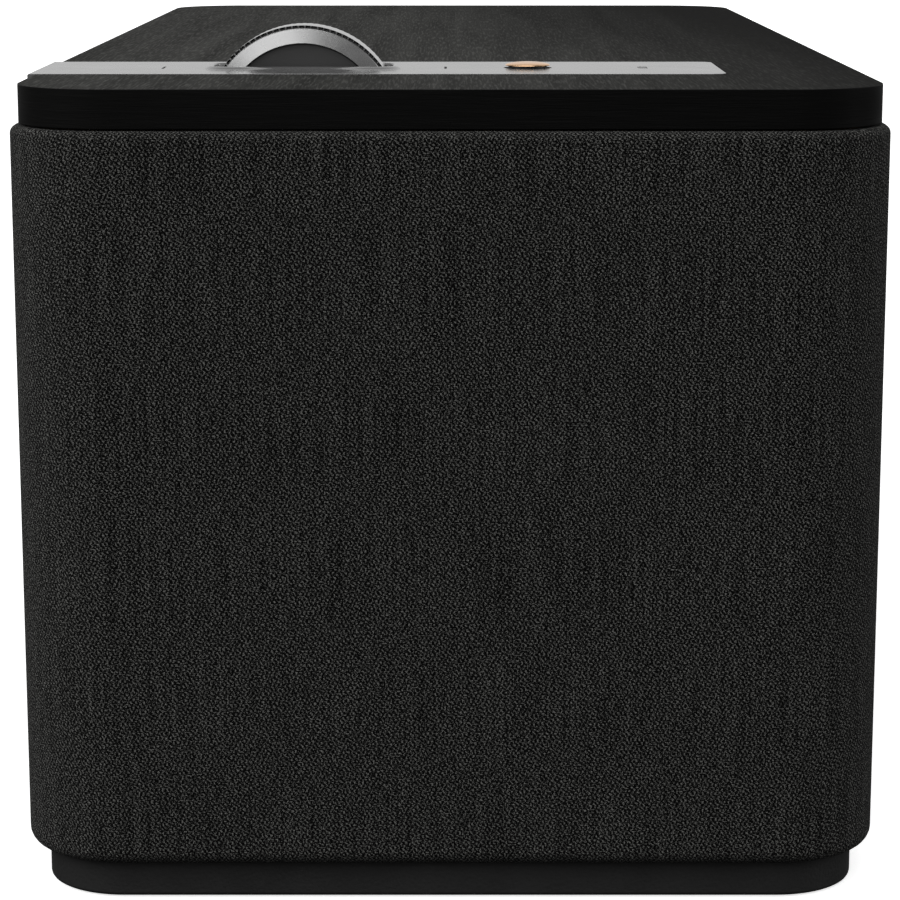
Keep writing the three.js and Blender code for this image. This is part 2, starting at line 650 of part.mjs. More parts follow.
function passiveRadiator(number) {
  const group = new THREE.Group();
  const name = (piece) => `radiator_${piece}_${number}`;
  place(group, name('frame'), revolve([
    [52, FIT], [44.6, FIT], [44.6, -5], [43.5, -5], [43.5, 2.8], [52, 2.8],
  ]), 'blackPlastic');
  place(group, name('surround'), halfRoll({
    landInner: 34.4, inner: 35.4, outer: 43.2, landOuter: 50, z: 3.1, rise: 4, thickness: 0.9,
  }), 'rubber');
  place(group, name('plate'), revolve([
    [0, -6], [16, -6], [16, 1], [34.1, 1], [34.1, 4], [0, 4],
  ]), 'cone');
  return group;
}

function addDrivers() {
  const wooferGroup = woofer();
  wooferGroup.rotation.y = -Math.PI / 2;
  wooferGroup.position.set(-CABINET_X, 0, DRIVER_Z);
  speaker.add(wooferGroup);
  [-1, 1].forEach((side, i) => {
    const driver = fullRangeDriver(i + 1);
    driver.rotation.y = -Math.PI / 2;
    driver.position.set(-CABINET_X, side * FULL_RANGE_Y, DRIVER_Z);
    speaker.add(driver);
    const radiator = passiveRadiator(i + 1);
    radiator.rotation.x = (-side * Math.PI) / 2;
    radiator.position.set(0, side * CABINET_Y, DRIVER_Z);
    speaker.add(radiator);
  });
}

const PANEL_SCREW_YS = [-50, 50];

function connectionPanel() {
  const inner = panelOutline(-2.4);
  const hole = (shape) => prismAlongX(shape, ...PANEL_CUT);
  return cut(
    prismAlongX(panelOutline(0), CABINET_X + FIT, PANEL.face),
    prismAlongX(inner, PANEL_CUT[0], PANEL.face - PANEL.skin),
    hole(roundedOutline(INLET.width + 4.6, INLET.height + 4.6, 2.3, INLET.y, INLET.z)),
    hole(roundedOutline(ROCKER.width + 2 * FIT, ROCKER.height + 1.4, 0.5, ROCKER.y, ROCKER.z)),
    rod('x', PAIRING.radius + FIT, ...PANEL_CUT, [0, PAIRING.y, PAIRING.z], 24),
    rod('x', AUX_JACK.radius + FIT, ...PANEL_CUT, [0, AUX_JACK.y, AUX_JACK.z], 24),
    hole(stadium(9.6, 4.2, USB_PORT.y, USB_PORT.z)),
    ...PANEL_SCREW_YS.map((y) => rod('x', SCREW.hole, ...PANEL_CUT, [0, y, PANEL.z], 10)),
    ...PANEL_SCREW_YS.map((y) => rod(
      'x', SCREW.counterbore, PANEL.face - 1.2, PANEL_CUT[1], [0, y, PANEL.z], 16,
    )),
  );
}

const INLET_MOUTH = PANEL.face - 0.4;
const INLET_FLOOR = INLET_MOUTH - INLET.depth;

function powerInlet() {
  const outer = roundedOutline(INLET.width + 4, INLET.height + 4, 2, INLET.y, INLET.z);
  const cavity = stadium(INLET.width, INLET.height, INLET.y, INLET.z);
  return cut(
    prismAlongX(outer, INLET_FLOOR - 2, INLET_MOUTH),
    prismAlongX(cavity, INLET_FLOOR, BESIDE, 5),
    ...INLET.pins.map((offset) => rod('x', 1.5, 0, BESIDE, [0, INLET.y + offset, INLET.z], 12)),
  );
}

function inletPins() {
  const { y, z } = INLET;
  const carrier = block(INLET_FLOOR - 5.3, INLET_FLOOR - 2.3, y - 8, y + 8, z - 4, z + 4);
  const pins = INLET.pins.map((offset) => rod(
    'x', 1.18, INLET_FLOOR - 3, INLET_FLOOR + 8, [0, y + offset, z], 12,
  ));
  return join(carrier, ...pins);
}

// The rocker's face is a shallow V, drawn level and stored with one side pressed in.
function powerRocker() {
  const half = ROCKER.height / 2;
  const dip = half * Math.tan(THREE.MathUtils.degToRad(ROCKER.tilt));
  const front = 3;
  const section = new THREE.Shape();
  section.moveTo(-5, -half + 2);
  section.lineTo(front + dip, -half);
  section.lineTo(front, 0);
  section.lineTo(front + dip, half);
  section.lineTo(-5, half - 2);
  const geometry = geometryOf(prismAlongY(section, -ROCKER.width / 2, ROCKER.width / 2));
  geometry.rotateY(THREE.MathUtils.degToRad(ROCKER.tilt));
  return solidOf(geometry.translate(ROCKER.x, ROCKER.y, ROCKER.z));
}

function auxJack() {
  const profile = [[1.8, -14], [4, -14], [4, 0], [1.8, 0]];
  const back = rod('z', 3.2, -15.5, -13.5, [0, 0, 0], 20);
  const barrel = geometryOf(join(revolve(profile, 20), back)).rotateY(Math.PI / 2);
  return solidOf(barrel.translate(PANEL.face - 0.4, AUX_JACK.y, AUX_JACK.z));
}

function usbPort() {
  const mouth = PANEL.face - 0.6;
  const shell = cut(
    prismAlongX(stadium(9, 3.6, USB_PORT.y, USB_PORT.z), mouth - 9, mouth),
    prismAlongX(stadium(8.2, 2.8, USB_PORT.y, USB_PORT.z), mouth - 8, BESIDE),
  );
  const { y, z } = USB_PORT;
  const tongue = block(mouth - 8.5, mouth - 1, y - 3, y + 3, z - 0.35, z + 0.35);
  return join(shell, tongue);
}

function heatsink() {
  const { left, right, near, fin, pitch, fins, bottom, top } = HEATSINK;
  const back = right - fin;
  let body = block(back, right, near, near + pitch * (fins - 1) + fin, bottom, top);
  for (let i = 0; i < fins; i += 1) {
    const y = near + i * pitch;
    body = join(body, block(left, back + 1, y, y + fin, bottom, top));
  }
  return body;
}

function transformer() {
  const profile = [[6, -9], [17, -9], [19, -7], [19, 7], [17, 9], [6, 9]];
  const ring = geometryOf(revolve(profile, 18)).rotateY(Math.PI / 2);
  return solidOf(ring.translate(TRANSFORMER.x, TRANSFORMER.y, TRANSFORMER.z));
}

function amplifierBoard() {
  const { x, thickness, half, bottom, top } = AMPLIFIER;
  return block(x, x + thickness, -half, half, bottom, top);
}

function addConnections() {
  place(speaker, 'connection_panel', connectionPanel(), 'blackPlastic');
  place(speaker, 'power_inlet', powerInlet(), 'blackPlastic');
  place(speaker, 'inlet_pins', inletPins(), 'steel');
  place(speaker, 'power_rocker', powerRocker(), 'blackPlastic');
  const cap = rod('x', PAIRING.radius, 66, PANEL.face + 0.6, [0, PAIRING.y, PAIRING.z], 24);
  place(speaker, 'pairing_button', cap, 'blackPlastic');
  place(speaker, 'aux_jack', auxJack(), 'blackPlastic');
  place(speaker, 'usb_port', usbPort(), 'steel');
  place(speaker, 'amplifier_board', amplifierBoard(), 'circuit');
  place(speaker, 'heatsink', heatsink(), 'aluminium');
  place(speaker, 'transformer', transformer(), 'copper');
}

addBase();
addCabinet();
addControls();
addDrivers();
addConnections();

export default speaker;
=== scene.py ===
"""Looks for the tabletop speaker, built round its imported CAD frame.

Shapes are given in millimetres, in the CAD's frame: x to the right, y to the back, z up.
"""

import math

import bmesh
import bpy
from mathutils import Matrix, Vector


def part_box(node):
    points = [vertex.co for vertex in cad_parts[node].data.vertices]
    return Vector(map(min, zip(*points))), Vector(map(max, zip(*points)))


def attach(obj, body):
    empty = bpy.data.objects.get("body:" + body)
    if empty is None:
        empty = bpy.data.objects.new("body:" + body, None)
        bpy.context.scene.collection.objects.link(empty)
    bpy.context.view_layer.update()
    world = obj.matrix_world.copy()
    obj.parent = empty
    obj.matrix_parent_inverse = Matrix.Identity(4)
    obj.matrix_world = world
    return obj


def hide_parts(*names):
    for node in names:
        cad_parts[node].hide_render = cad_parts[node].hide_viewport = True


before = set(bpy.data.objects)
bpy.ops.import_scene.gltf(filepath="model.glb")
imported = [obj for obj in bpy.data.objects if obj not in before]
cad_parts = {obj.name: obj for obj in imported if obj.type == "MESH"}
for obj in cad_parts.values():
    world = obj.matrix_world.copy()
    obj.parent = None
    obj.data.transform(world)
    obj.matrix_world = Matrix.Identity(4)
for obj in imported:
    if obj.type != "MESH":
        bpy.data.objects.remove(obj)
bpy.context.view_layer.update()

MM = 0.001
CREASE = math.radians(32)  # edges sharper than this stay sharp
FIT = 0.3  # gap between neighbouring pieces
ROUND = 0.01  # a corner this much under the half width makes a circle with short flats
SQUARE = 0.02  # the least corner radius

# (level, inset) pairs of the cutters, which reach past both faces of what they cut.
THROUGH_TOP = [(120, 0), (150, 0)]
THROUGH_PANEL = [(60, 0), (80, 0)]

# Cabinet, cloth and top, as in the CAD, apart from a sharper edge on the slab and a base that
# reaches 0.3 lower.
HALF_X, HALF_Y, CORNER = 75, 159.75, 18
CLOTH_BOTTOM, CLOTH_TOP, CLOTH_THICKNESS = 6.9, 133.8, 0.65
BOTTOM_ROLL, TOP_ROLL, CLOTH_TURN = 2.6, 1.5, 3.3
SLAB_BOTTOM, SLAB_TOP, SLAB_INSET, SLAB_EDGE = 134.1, 140.7, 1.5, 0.14
BASE_BOTTOM, BASE_TOP, BASE_INSET = 0.3, 6.6, 3.5
FOOT_X, FOOT_Y, FOOT_LENGTH, FOOT_WIDTH = 50, 136, 34, 12
SCREW_X, SCREW_Y = 56, 108

# Control strip, wheel, button and lights, as in the CAD, apart from closer gaps and finer edges.
STRIP_Y, STRIP_WIDTH, STRIP_THICKNESS = -104.75, 34, 1
STRIP_LEFT, STRIP_RIGHT, STRIP_CORNER, STRIP_BEND = -74.9, 49, 2.5, 0.35
STRIP_TOP = SLAB_TOP + 0.1
STRIP_BOTTOM = STRIP_TOP - STRIP_THICKNESS
SLOT_LEFT, SLOT_RIGHT, SLOT_WIDTH, SLOT_CORNER = -43.2, -10.5, 11, 2.8
LIP_HEIGHT, LIP_WALL, LIP_SPREAD, LIP_CROWN, LIP_SINK = 0.55, 0.38, 1.9, 0.35, 0.002
WHEEL_X, WHEEL_Z, WHEEL_HALF = -26.8, 130.9, 5
WHEEL_RADIUS, WHEEL_FACE, WHEEL_INNER, WHEEL_TEETH = 17.8, 17.2, 15, 94
BUTTON_X, BUTTON_RADIUS = 14.1, 4.1
TICK_XS, TICK_HALF_X, TICK_HALF_Y = (-52.4, -0.9), 0.22, 3
LENS_X, LENS_HOLE_X, LENS_HOLE_Y = 35.1, 0.86, 2.86
POD_X, POD_Y = (-56, 45), (-120, -89.5)
CHANNEL_LEFT = -91  # the strip's channel is cut out past the slab's left side

# Connection panel.
PANEL_HALF_Y, PANEL_HALF_Z, PANEL_Z, PANEL_CORNER = 56, 23, 38, 6
PANEL_BACK, PANEL_FACE, PANEL_RECESS, RECESS_INSET = 71.2, 74, 0.7, 2.4
INLET_Y, ROCKER_Y, PAIRING_Y, AUX_Y, USB_Y = -34, -10, 12, 26, 40
PANEL_SCREW_YS = (-50, 50)
ROCKER_X, ROCKER_TILT = 70, math.radians(6)
ROCKER_HALF_Y, ROCKER_HALF_Z, ROCKER_FACE, ROCKER_DISH = 5.4, 8.2, 3.9, 0.75
ROCKER_BACK, ROCKER_BACK_HALF = -5, 5.4


# ---- Meshes ------------------------------------------------------------------------------------
def rounded(half_u, half_v, corner, steps=8):
    """Points round a rectangle with rounded corners, counterclockwise."""
    points = []
    for quarter, (u, v) in enumerate([(1, 1), (-1, 1), (-1, -1), (1, -1)]):
        for i in range(steps + 1):
            angle = math.pi / 2 * (quarter + i / steps)
            points.append((
                u * (half_u - corner) + corner * math.cos(angle),
                v * (half_v - corner) + corner * math.sin(angle),
            ))
    return points


def turn(axis, u, v, w):
    """(u, v) across the axis and w along it, as x, y, z."""
    return {"x": (w, u, v), "y": (u, w, v), "z": (u, v, w)}[axis]


def shifted(points, centre):
    return [tuple(a + b for a, b in zip(p, centre)) for p in points]


def loft(rings, wrap=False):
    """Quads between rings of as many points each. Without wrap, the two ends get flat caps."""
    count = len(rings[0])
    points = [p for ring in rings for p in ring]
    spans = [(i, (i + 1) % len(rings)) for i in range(len(rings) - (not wrap))]
    faces = [
        (a * count + i, a * count + (i + 1) % count, b * count + (i + 1) % count, b * count + i)
        for a, b in spans
        for i in range(count)
    ]
    if not wrap:
        faces.append(tuple(reversed(range(count))))
        faces.append(tuple(range((len(rings) - 1) * count, len(rings) * count)))
    return points, faces


def ends(low, high, low_round, high_round, steps=3):
    """(level, inset) pairs of a prism with rounded ends."""
    angles = [math.pi / 2 * i / steps for i in range(steps + 1)]
    curve = [(1 - math.cos(a), 1 - math.sin(a)) for a in angles]
    lower = [(low + low_round * rise, low_round * inset) for rise, inset in curve]
    upper = [(high - high_round * rise, high_round * inset) for rise, inset in curve]
    return lower + upper[::-1]


def prism(half_u, half_v, corner, levels, centre=(0, 0, 0), axis="z", steps=8):
    """A rounded rectangle drawn along an axis; levels are (place on the axis, inset)."""
    rings = []
    for level, inset in levels:
        ring = rounded(half_u - inset, half_v - inset, max(corner - inset, SQUARE), steps)
        rings.append(shifted([turn(axis, u, v, level) for u, v in ring], centre))
    return loft(rings)


def round_hole(radius, levels, centre, axis="z", steps=8):
    """A round prism that cuts a hole."""
    return prism(radius, radius, radius - ROUND, levels, centre, axis, steps)


def block(left, right, near, far, corner, levels):
    """An upright block between two x and two y."""
    centre = ((left + right) / 2, (near + far) / 2, 0)
    return prism((right - left) / 2, (far - near) / 2, corner, levels, centre)


def lathe(profile, centre, axis, steps=64, closed=False, ripple=None):
    """(radius, place on the axis) points turned round an axis.

    A closed profile joins its last point to its first. ripple changes a point by its angle.
    """
    rings = []
    for i in range(steps):
        angle = 2 * math.pi * i / steps
        ring = []
        for k, (radius, level) in enumerate(profile):
            radius, level = ripple(k, radius, level, angle) if ripple else (radius, level)
            ring.append(turn(axis, radius * math.cos(angle), radius * math.sin(angle), level))
        rings.append(shifted(ring, centre))
    points, faces = loft(rings, wrap=True)
    if not closed:
        seam, count = {0, len(profile) - 1}, len(profile)
        faces = [f for f in faces if {f[0] % count, f[1] % count} != seam]
    return points, faces


def extrude(section, low, high, axis, centre=(0, 0, 0)):
    """A flat outline in (u, v) drawn along an axis."""
    return loft([
        shifted([turn(axis, u, v, level) for u, v in section], centre) for level in (low, high)
    ])


def make(name, shape, *materials):
    """An object from (points, faces) in millimetres."""
    points, faces = shape
    mesh = bpy.data.meshes.new(name)
    mesh.from_pydata([Vector(p) * MM for p in points], [], faces)
    body = bmesh.new()
    body.from_mesh(mesh)
    bmesh.ops.remove_doubles(body, verts=body.verts, dist=1e-7)
    bmesh.ops.recalc_face_normals(body, faces=body.faces)
    body.to_mesh(mesh)
    body.free()
    for material in materials:
        mesh.materials.append(material)
    obj = bpy.data.objects.new(name, mesh)
    bpy.context.scene.collection.objects.link(obj)
    return obj


def apply_modifiers(obj):
    depsgraph = bpy.context.evaluated_depsgraph_get()
    mesh = bpy.data.meshes.new_from_object(obj.evaluated_get(depsgraph))
    old = obj.data
    obj.modifiers.clear()
    obj.data = mesh
    bpy.data.meshes.remove(old)
    mesh.name = obj.name
    return obj


def combine(obj, shapes, operation="DIFFERENCE"):
    """Cuts the shapes from obj, adds them to it, or keeps only what lies within them."""
    tools = []
    for shape in shapes:
        tool = make("tool", shape)
        modifier = obj.modifiers.new("combine", "BOOLEAN")
        modifier.operation = operation
        modifier.solver = "EXACT"
        modifier.object = tool
        tools.append(tool)
    apply_modifiers(obj)
    for tool in tools:
        bpy.data.objects.remove(tool)
    return obj


def bevel(obj, width, segments, angle):
    """Rounds the edges that are sharper than angle degrees."""
    modifier = obj.modifiers.new("bevel", "BEVEL")
    modifier.width = width * MM
    modifier.segments = segments
    modifier.limit_method = "ANGLE"
    modifier.angle_limit = math.radians(angle)
    return apply_modifiers(obj)


def join(first, *others):
    """Puts several meshes into the first object."""
    for other in others:
        body = bmesh.new()
        body.from_mesh(first.data)
        body.from_mesh(other.data)
        body.to_mesh(first.data)
        body.free()
        bpy.data.objects.remove(other)
    return first


def dress(obj, body, slot, *nodes):
    """Shades a finished piece, puts it on its body and hides the CAD nodes that it stands for. slot
    is not used.
    """
    obj.data.shade_smooth()
    obj.data.set_sharp_from_angle(angle=CREASE)
    modifier = obj.modifiers.new("normals", "WEIGHTED_NORMAL")
    modifier.keep_sharp = True
    apply_modifiers(obj)
    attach(obj, body)
    if nodes:
        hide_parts(*nodes)
    return obj


# ---- Materials ---------------------------------------------------------------------------------
class Finish:
    """A material of one Principled shader, with its texture coordinates in millimetres.

    Numbers given to set are the same all over the surface. feed, colour, rough and bump vary.
    """

    def __init__(
        self, name, colour, roughness, metallic=0.0, specular=0.5, use_uv=False, **sockets,
    ):
        self.material = bpy.data.materials.new(name)
        self.material.use_nodes = True
        self.nodes = self.material.node_tree.nodes
        self.links = self.material.node_tree.links
        self.shader = self.nodes["Principled BSDF"]
        self.set("Base Color", (*colour, 1))
        self.set("Roughness", roughness)
        self.set("Metallic", metallic)
        self.set("Specular IOR Level", specular)
        for socket, value in sockets.items():
            self.set(socket.replace("_", " "), value)
        place = self.nodes.new("ShaderNodeTexCoord").outputs["UV" if use_uv else "Object"]
        self.place = self.vector("SCALE", place, scale=1 / MM)

    def set(self, socket, value):
        self.shader.inputs[socket].default_value = value

    def feed(self, socket, source):
        self.links.new(source, self.shader.inputs[socket])

    def node(self, kind, inputs=None, **settings):
        node = self.nodes.new("ShaderNode" + kind)
        for key, value in settings.items():
            setattr(node, key, value)
        for key, value in (inputs or {}).items():
            if isinstance(value, bpy.types.NodeSocket):
                self.links.new(value, node.inputs[key])
            elif value is not None:
                node.inputs[key].default_value = value
        return node

    def vector(self, operation, a, b=None, scale=None):
        inputs = {0: a, 1: b}
        if scale is not None:
            inputs["Scale"] = scale
        output = "Value" if operation == "DOT_PRODUCT" else "Vector"
        return self.node("VectorMath", inputs, operation=operation).outputs[output]

    def maths(self, operation, a, b=None, c=None):
        return self.node("Math", {0: a, 1: b, 2: c}, operation=operation).outputs[0]

    def noise(self, size, detail=2.0, rough=0.5, distortion=0.0, place=None):
        """Noise whose features are about size millimetres: one number, or one along each axis."""
        sizes = size if isinstance(size, tuple) else (size, size, size)
        scaled = self.vector("MULTIPLY", place or self.place, tuple(1 / s for s in sizes))
        inputs = {"Vector": scaled, "Scale": 1.0, "Detail": detail, "Roughness": rough}
        inputs["Distortion"] = distortion
        return self.node("TexNoise", inputs).outputs["Fac"]

    def cells(self, size, **settings):
        """Distance from the middle of the nearest cell, of cells about size millimetres."""
        scaled = self.vector("MULTIPLY", self.place, (1 / size,) * 3)
        inputs = {"Vector": scaled, "Scale": 1.0}
        return self.node("TexVoronoi", inputs, **settings).outputs["Distance"]

    def wave(self, across, phase=None):
        """A sine of the place along a direction, in turns a millimetre, from -1 to 1."""
        turns = self.vector("DOT_PRODUCT", self.place, across)
        angle = self.maths("MULTIPLY", turns, 2 * math.pi)
        if phase is not None:
            angle = self.maths("ADD", angle, phase)
        return self.maths("SINE", angle)

    def span(self, value, low, high, to_low=0.0, to_high=1.0):
        """Stretches a value from one range to another, and clips it."""
        inputs = {"Value": value, "From Min": low, "From Max": high}
        inputs.update({"To Min": to_low, "To Max": to_high})
        return self.node("MapRange", inputs).outputs["Result"]

    def mix(self, first, share, second):
        """share of the first value, added to the second."""
        return self.maths("MULTIPLY_ADD", first, share, second)

    def colour(self, value, *stops):
        """The base colour runs through the stops, (place, colour), as the value rises."""
        ramp = self.node("ValToRGB", {0: value})
        band = ramp.color_ramp
        for _ in stops[2:]:
            band.elements.new(0.5)
        for element, (place, colour) in zip(band.elements, stops):
            element.position = place
            element.color = (*colour, 1)
        self.feed("Base Color", ramp.outputs["Color"])

    def bump(self, height, depth):
        inputs = {"Height": height, "Distance": depth * MM, "Strength": 1.0}
        self.feed("Normal", self.node("Bump", inputs).outputs["Normal"])

    def rough(self, value, low, high):
        """The roughness follows a noise value, most of which lies in its middle half."""
        self.feed("Roughness", self.span(value, 0.25, 0.75, low, high))


def grey(level):
    return (level, level, level)


def warm(level):
    """A grey with a little less blue, as the dyed cloth and the stained wood have."""
    return (level, level, level * 0.95)


def cloth_finish():
    """Speaker cloth: a slightly irregular lattice of loops among uneven threads, with streaks."""
    f = Finish("speaker_cloth", grey(0.03), 0.95, specular=0.06, use_uv=True)
    f.set("Sheen Weight", 0.03)
    f.set("Sheen Roughness", 0.5)
    drift = f.maths("MULTIPLY", f.noise(1.1, 1.0), 5.0)
    lattice = [(0.93, 1.30, 0), (1.37, 0.64, 0), (1.33, -0.66, 0)]
    waves = [f.wave(direction, drift) for direction in lattice]
    weave = f.maths("ADD", f.maths("ADD", waves[0], waves[1]), waves[2])
    threads = f.noise(0.235, 2.0, 0.6)
    slubs = f.noise((1.6, 0.28, 1), 1.0)
    streaks = f.noise((0.3, 24, 1), 2.0, 0.6)
    height = f.mix(weave, 0.045, threads)
    tone = f.span(height, 0.38, 0.7)
    tone = f.maths("MULTIPLY", tone, f.span(streaks, 0.3, 0.7, 0.8, 1.2))
    tone = f.maths("MULTIPLY", tone, f.span(slubs, 0.3, 0.8, 0.82, 1.4))
    f.colour(tone, (0.0, warm(0.0001)), (0.42, warm(0.0018)), (1.0, warm(0.168)))
    f.bump(height, 0.22)
    return f.material


def wood_finish(name, dark, light, stretch, specular):
    """Open-pored black veneer. stretch turns sizes across and along the grain into x, y, z."""
    f = Finish(name, grey(dark), 0.65, specular=specular, Coat_Weight=0.03)
    f.set("Coat Roughness", 0.25)
    bands = f.noise(stretch(7.0, 160), 3.0, 0.55, 0.6)
    pores = f.noise(stretch(0.42, 9.0), 2.0, 0.6)
    fine = f.noise(stretch(0.16, 3.0), 1.0)
    tone = f.mix(f.span(pores, 0.48, 0.72), 0.42, f.span(bands, 0.3, 0.7, 0.13, 0.35))
    # Painted shade: the colour darkens towards the right side, and less strongly towards the back.
    painted_shade_across = f.vector("DOT_PRODUCT", f.place, (1.0, 0.12, 0.0))
    tone = f.maths("MULTIPLY", tone, f.span(painted_shade_across, -5, 72, 1.15, 0.08))
    f.colour(tone, (0.0, warm(dark)), (1.0, warm(light)))
    f.rough(bands, 0.55, 0.72)
    f.bump(f.mix(fine, 0.3, pores), 0.05)
    return f.material


def grain_on_top(across, along):
    return (across, along, across)


def grain_round_edge(across, along):
    return (along, along, across)


def plastic_finish(name, level, roughness, grain=0.5, depth=0.03, specular=0.3):
    """Moulded plastic with a fine leathery grain."""
    f = Finish(name, grey(level), roughness, specular=specular)
    pebbles = f.cells(grain, feature="SMOOTH_F1")
    cloudy = f.noise(14.0, 3.0)
    mixed = f.mix(pebbles, 0.35, f.span(cloudy, 0.3, 0.7, 0.0, 0.5))
    f.colour(mixed, (0.0, grey(level * 0.8)), (1.0, grey(level * 1.35)))
    f.rough(cloudy, roughness - 0.06, roughness + 0.06)
    f.bump(f.mix(f.noise(grain * 0.5, 2.0), 0.4, pebbles), depth)
    return f.material


def scaled_colour(colour, factor):
    return tuple(channel * factor for channel in colour)


def metal_finish(
    name, colour, roughness, brush=(0.08, 0.08, 0.08), depth=0.002, spread=0.08, metallic=1.0,
):
    """Satin or brushed metal with faint smudges. brush is the size of its lines along each axis."""
    f = Finish(name, colour, roughness, metallic=metallic)
    lines = f.noise(brush, 2.0, 0.6)
    smudges = f.noise(9.0, 3.0)
    value = f.mix(lines, 0.5, f.maths("MULTIPLY", smudges, 0.5))
    f.colour(value, (0.3, scaled_colour(colour, 0.93)), (0.7, scaled_colour(colour, 1.05)))
    f.rough(smudges, roughness - spread / 2, roughness + spread / 2)
    f.bump(lines, depth)
    return f.material


def speckled_finish(name, dark, light, size, roughness, depth=0.02, specular=0.3):
    """Pressed board, paper, cast metal and the like: a fine speckle between two colours."""
    f = Finish(name, dark, roughness, specular=specular)
    grains = f.noise(size, 4.0, 0.7)
    patches = f.noise(size * 14, 2.0)
    value = f.mix(grains, 0.75, f.maths("MULTIPLY", patches, 0.25))
    f.colour(value, (0.32, dark), (0.68, light))
    f.rough(patches, roughness - 0.05, roughness + 0.05)
    f.bump(grains, depth)
    return f.material


def woven_finish(name, dark, light, pitch):
    """A plain resin-dipped weave."""
    f = Finish(name, dark, 0.8, specular=0.2)
    warp = f.wave((0, 1 / pitch, 0))
    weft = f.wave((0, 0, 1 / pitch))
    height = f.mix(f.maths("MULTIPLY", warp, weft), 0.5, 0.5)
    f.colour(height, (0.1, dark), (0.9, light))
    f.bump(height, 0.12)
    return f.material


def winding_finish(name, dark, light, pitch):
    """Turns of enamelled wire laid side by side."""
    f = Finish(name, dark, 0.3, metallic=0.9)
    turns = f.mix(f.wave((1 / pitch, 0, 0)), 0.5, 0.5)
    f.colour(turns, (0.0, dark), (0.8, light))
    f.bump(turns, 0.1)
    return f.material


def board_finish():
    """Green solder mask over traces."""
    f = Finish("circuit_board", (0.01, 0.06, 0.02), 0.4)
    traces = f.cells(3.2, distance="CHEBYCHEV")
    lines = f.span(traces, 0.40, 0.46)
    f.colour(lines, (0.0, (0.008, 0.05, 0.018)), (1.0, (0.02, 0.11, 0.04)))
    f.rough(f.noise(6.0), 0.35, 0.5)
    f.bump(lines, 0.03)
    return f.material


def lens_finish():
    """Hazy moulded lens of a light that is off."""
    f = Finish("light_lens", grey(0.2), 0.35, specular=0.4)
    haze = f.noise(0.8, 3.0)
    f.colour(haze, (0.3, grey(0.16)), (0.7, grey(0.24)))
    f.rough(haze, 0.28, 0.45)
    f.bump(haze, 0.01)
    return f.material


def turned_finish(name, colour, roughness, axis_at, pitch, metallic, depth, specular=0.5):
    """Fine rings cut on a lathe, round an axis along y."""
    f = Finish(name, colour, roughness, metallic=metallic, specular=specular)
    flat = f.vector("MULTIPLY", f.vector("SUBTRACT", f.place, axis_at), (1, 0, 1))
    radius = f.node("VectorMath", {0: flat}, operation="LENGTH").outputs["Value"]
    ring_place = f.node("CombineXYZ", {"X": radius}).outputs["Vector"]
    rings = f.noise((pitch, 1, 1), 2.0, 0.6, place=ring_place)
    smudges = f.noise(5.0, 3.0)
    value = f.mix(rings, 0.6, f.maths("MULTIPLY", smudges, 0.4))
    f.colour(value, (0.3, scaled_colour(colour, 0.88)), (0.7, scaled_colour(colour, 1.08)))
    f.rough(smudges, roughness - 0.04, roughness + 0.04)
    f.bump(rings, depth)
    return f.material


WHEEL_AXIS, BUTTON_AXIS = (WHEEL_X, 0, WHEEL_Z), (BUTTON_X, 0, STRIP_TOP)
CLOTH = cloth_finish()
WOOD_TOP = wood_finish("black_wood_top", 0.009, 0.102, grain_on_top, 0.0)
# Painted shade: the slab's edge takes a far darker copy of the top's wood.
SHADED_WOOD_EDGE = wood_finish("black_wood_edge_painted_shade", 0.001, 0.0034, grain_round_edge, 0.08)
STRIP_METAL = metal_finish(
    "satin_aluminium", grey(0.36), 0.22, depth=0.0003, spread=0.04, metallic=0.8,
)
FACE_METAL = turned_finish("turned_aluminium", grey(0.37), 0.27, WHEEL_AXIS, 0.12, 1.0, 0.002)
BAND_METAL = metal_finish("knurled_aluminium", grey(0.6), 0.28, depth=0.001)
# Painted shade: a near-black copy of the aluminium, for the wheel's groove and the button's neck.
SHADED_GROOVE_METAL = metal_finish("groove_painted_shade", grey(0.08), 0.5, depth=0.002)
DISC = turned_finish("wheel_disc", grey(0.045), 0.5, WHEEL_AXIS, 0.25, 0.0, 0.01, specular=0.3)
COPPER = turned_finish("copper_finish", (1.0, 0.64, 0.38), 0.2, BUTTON_AXIS, 0.1, 1.0, 0.001)
BASE_PLASTIC = plastic_finish("base_plastic", 0.0195, 0.6, grain=0.55, depth=0.05, specular=0.25)
PLASTIC = plastic_finish("moulded_plastic", 0.02, 0.55, grain=0.35)
SWITCH_PLASTIC = plastic_finish("switch_plastic", 0.016, 0.4, grain=0.25, depth=0.012)
RUBBER = speckled_finish("rubber", grey(0.012), grey(0.022), 0.3, 0.85, 0.02, 0.2)
BOARD = speckled_finish("fibreboard", (0.16, 0.10, 0.06), (0.30, 0.20, 0.12), 0.5, 0.9, 0.05)
STEEL = metal_finish("steel", (0.52, 0.53, 0.54), 0.34, brush=(0.3, 0.3, 0.05), depth=0.004)
BLACK_METAL = speckled_finish("black_metal", grey(0.014), grey(0.03), 0.25, 0.5, 0.02, 0.5)
FERRITE = speckled_finish("ferrite", grey(0.03), grey(0.06), 0.4, 0.75, 0.03)
CONE = speckled_finish("cone", grey(0.014), grey(0.035), 0.7, 0.7, 0.06)
CONE_METAL = metal_finish("cone_aluminium", grey(0.55), 0.36, brush=(0.2, 0.2, 0.2), depth=0.002)
SPIDER = woven_finish("spider_cloth", (0.10, 0.06, 0.02), (0.32, 0.20, 0.08), 0.8)
WIRE = winding_finish("copper_wire", (0.25, 0.08, 0.03), (0.75, 0.32, 0.14), 0.35)
CIRCUIT = board_finish()
LENS = lens_finish()

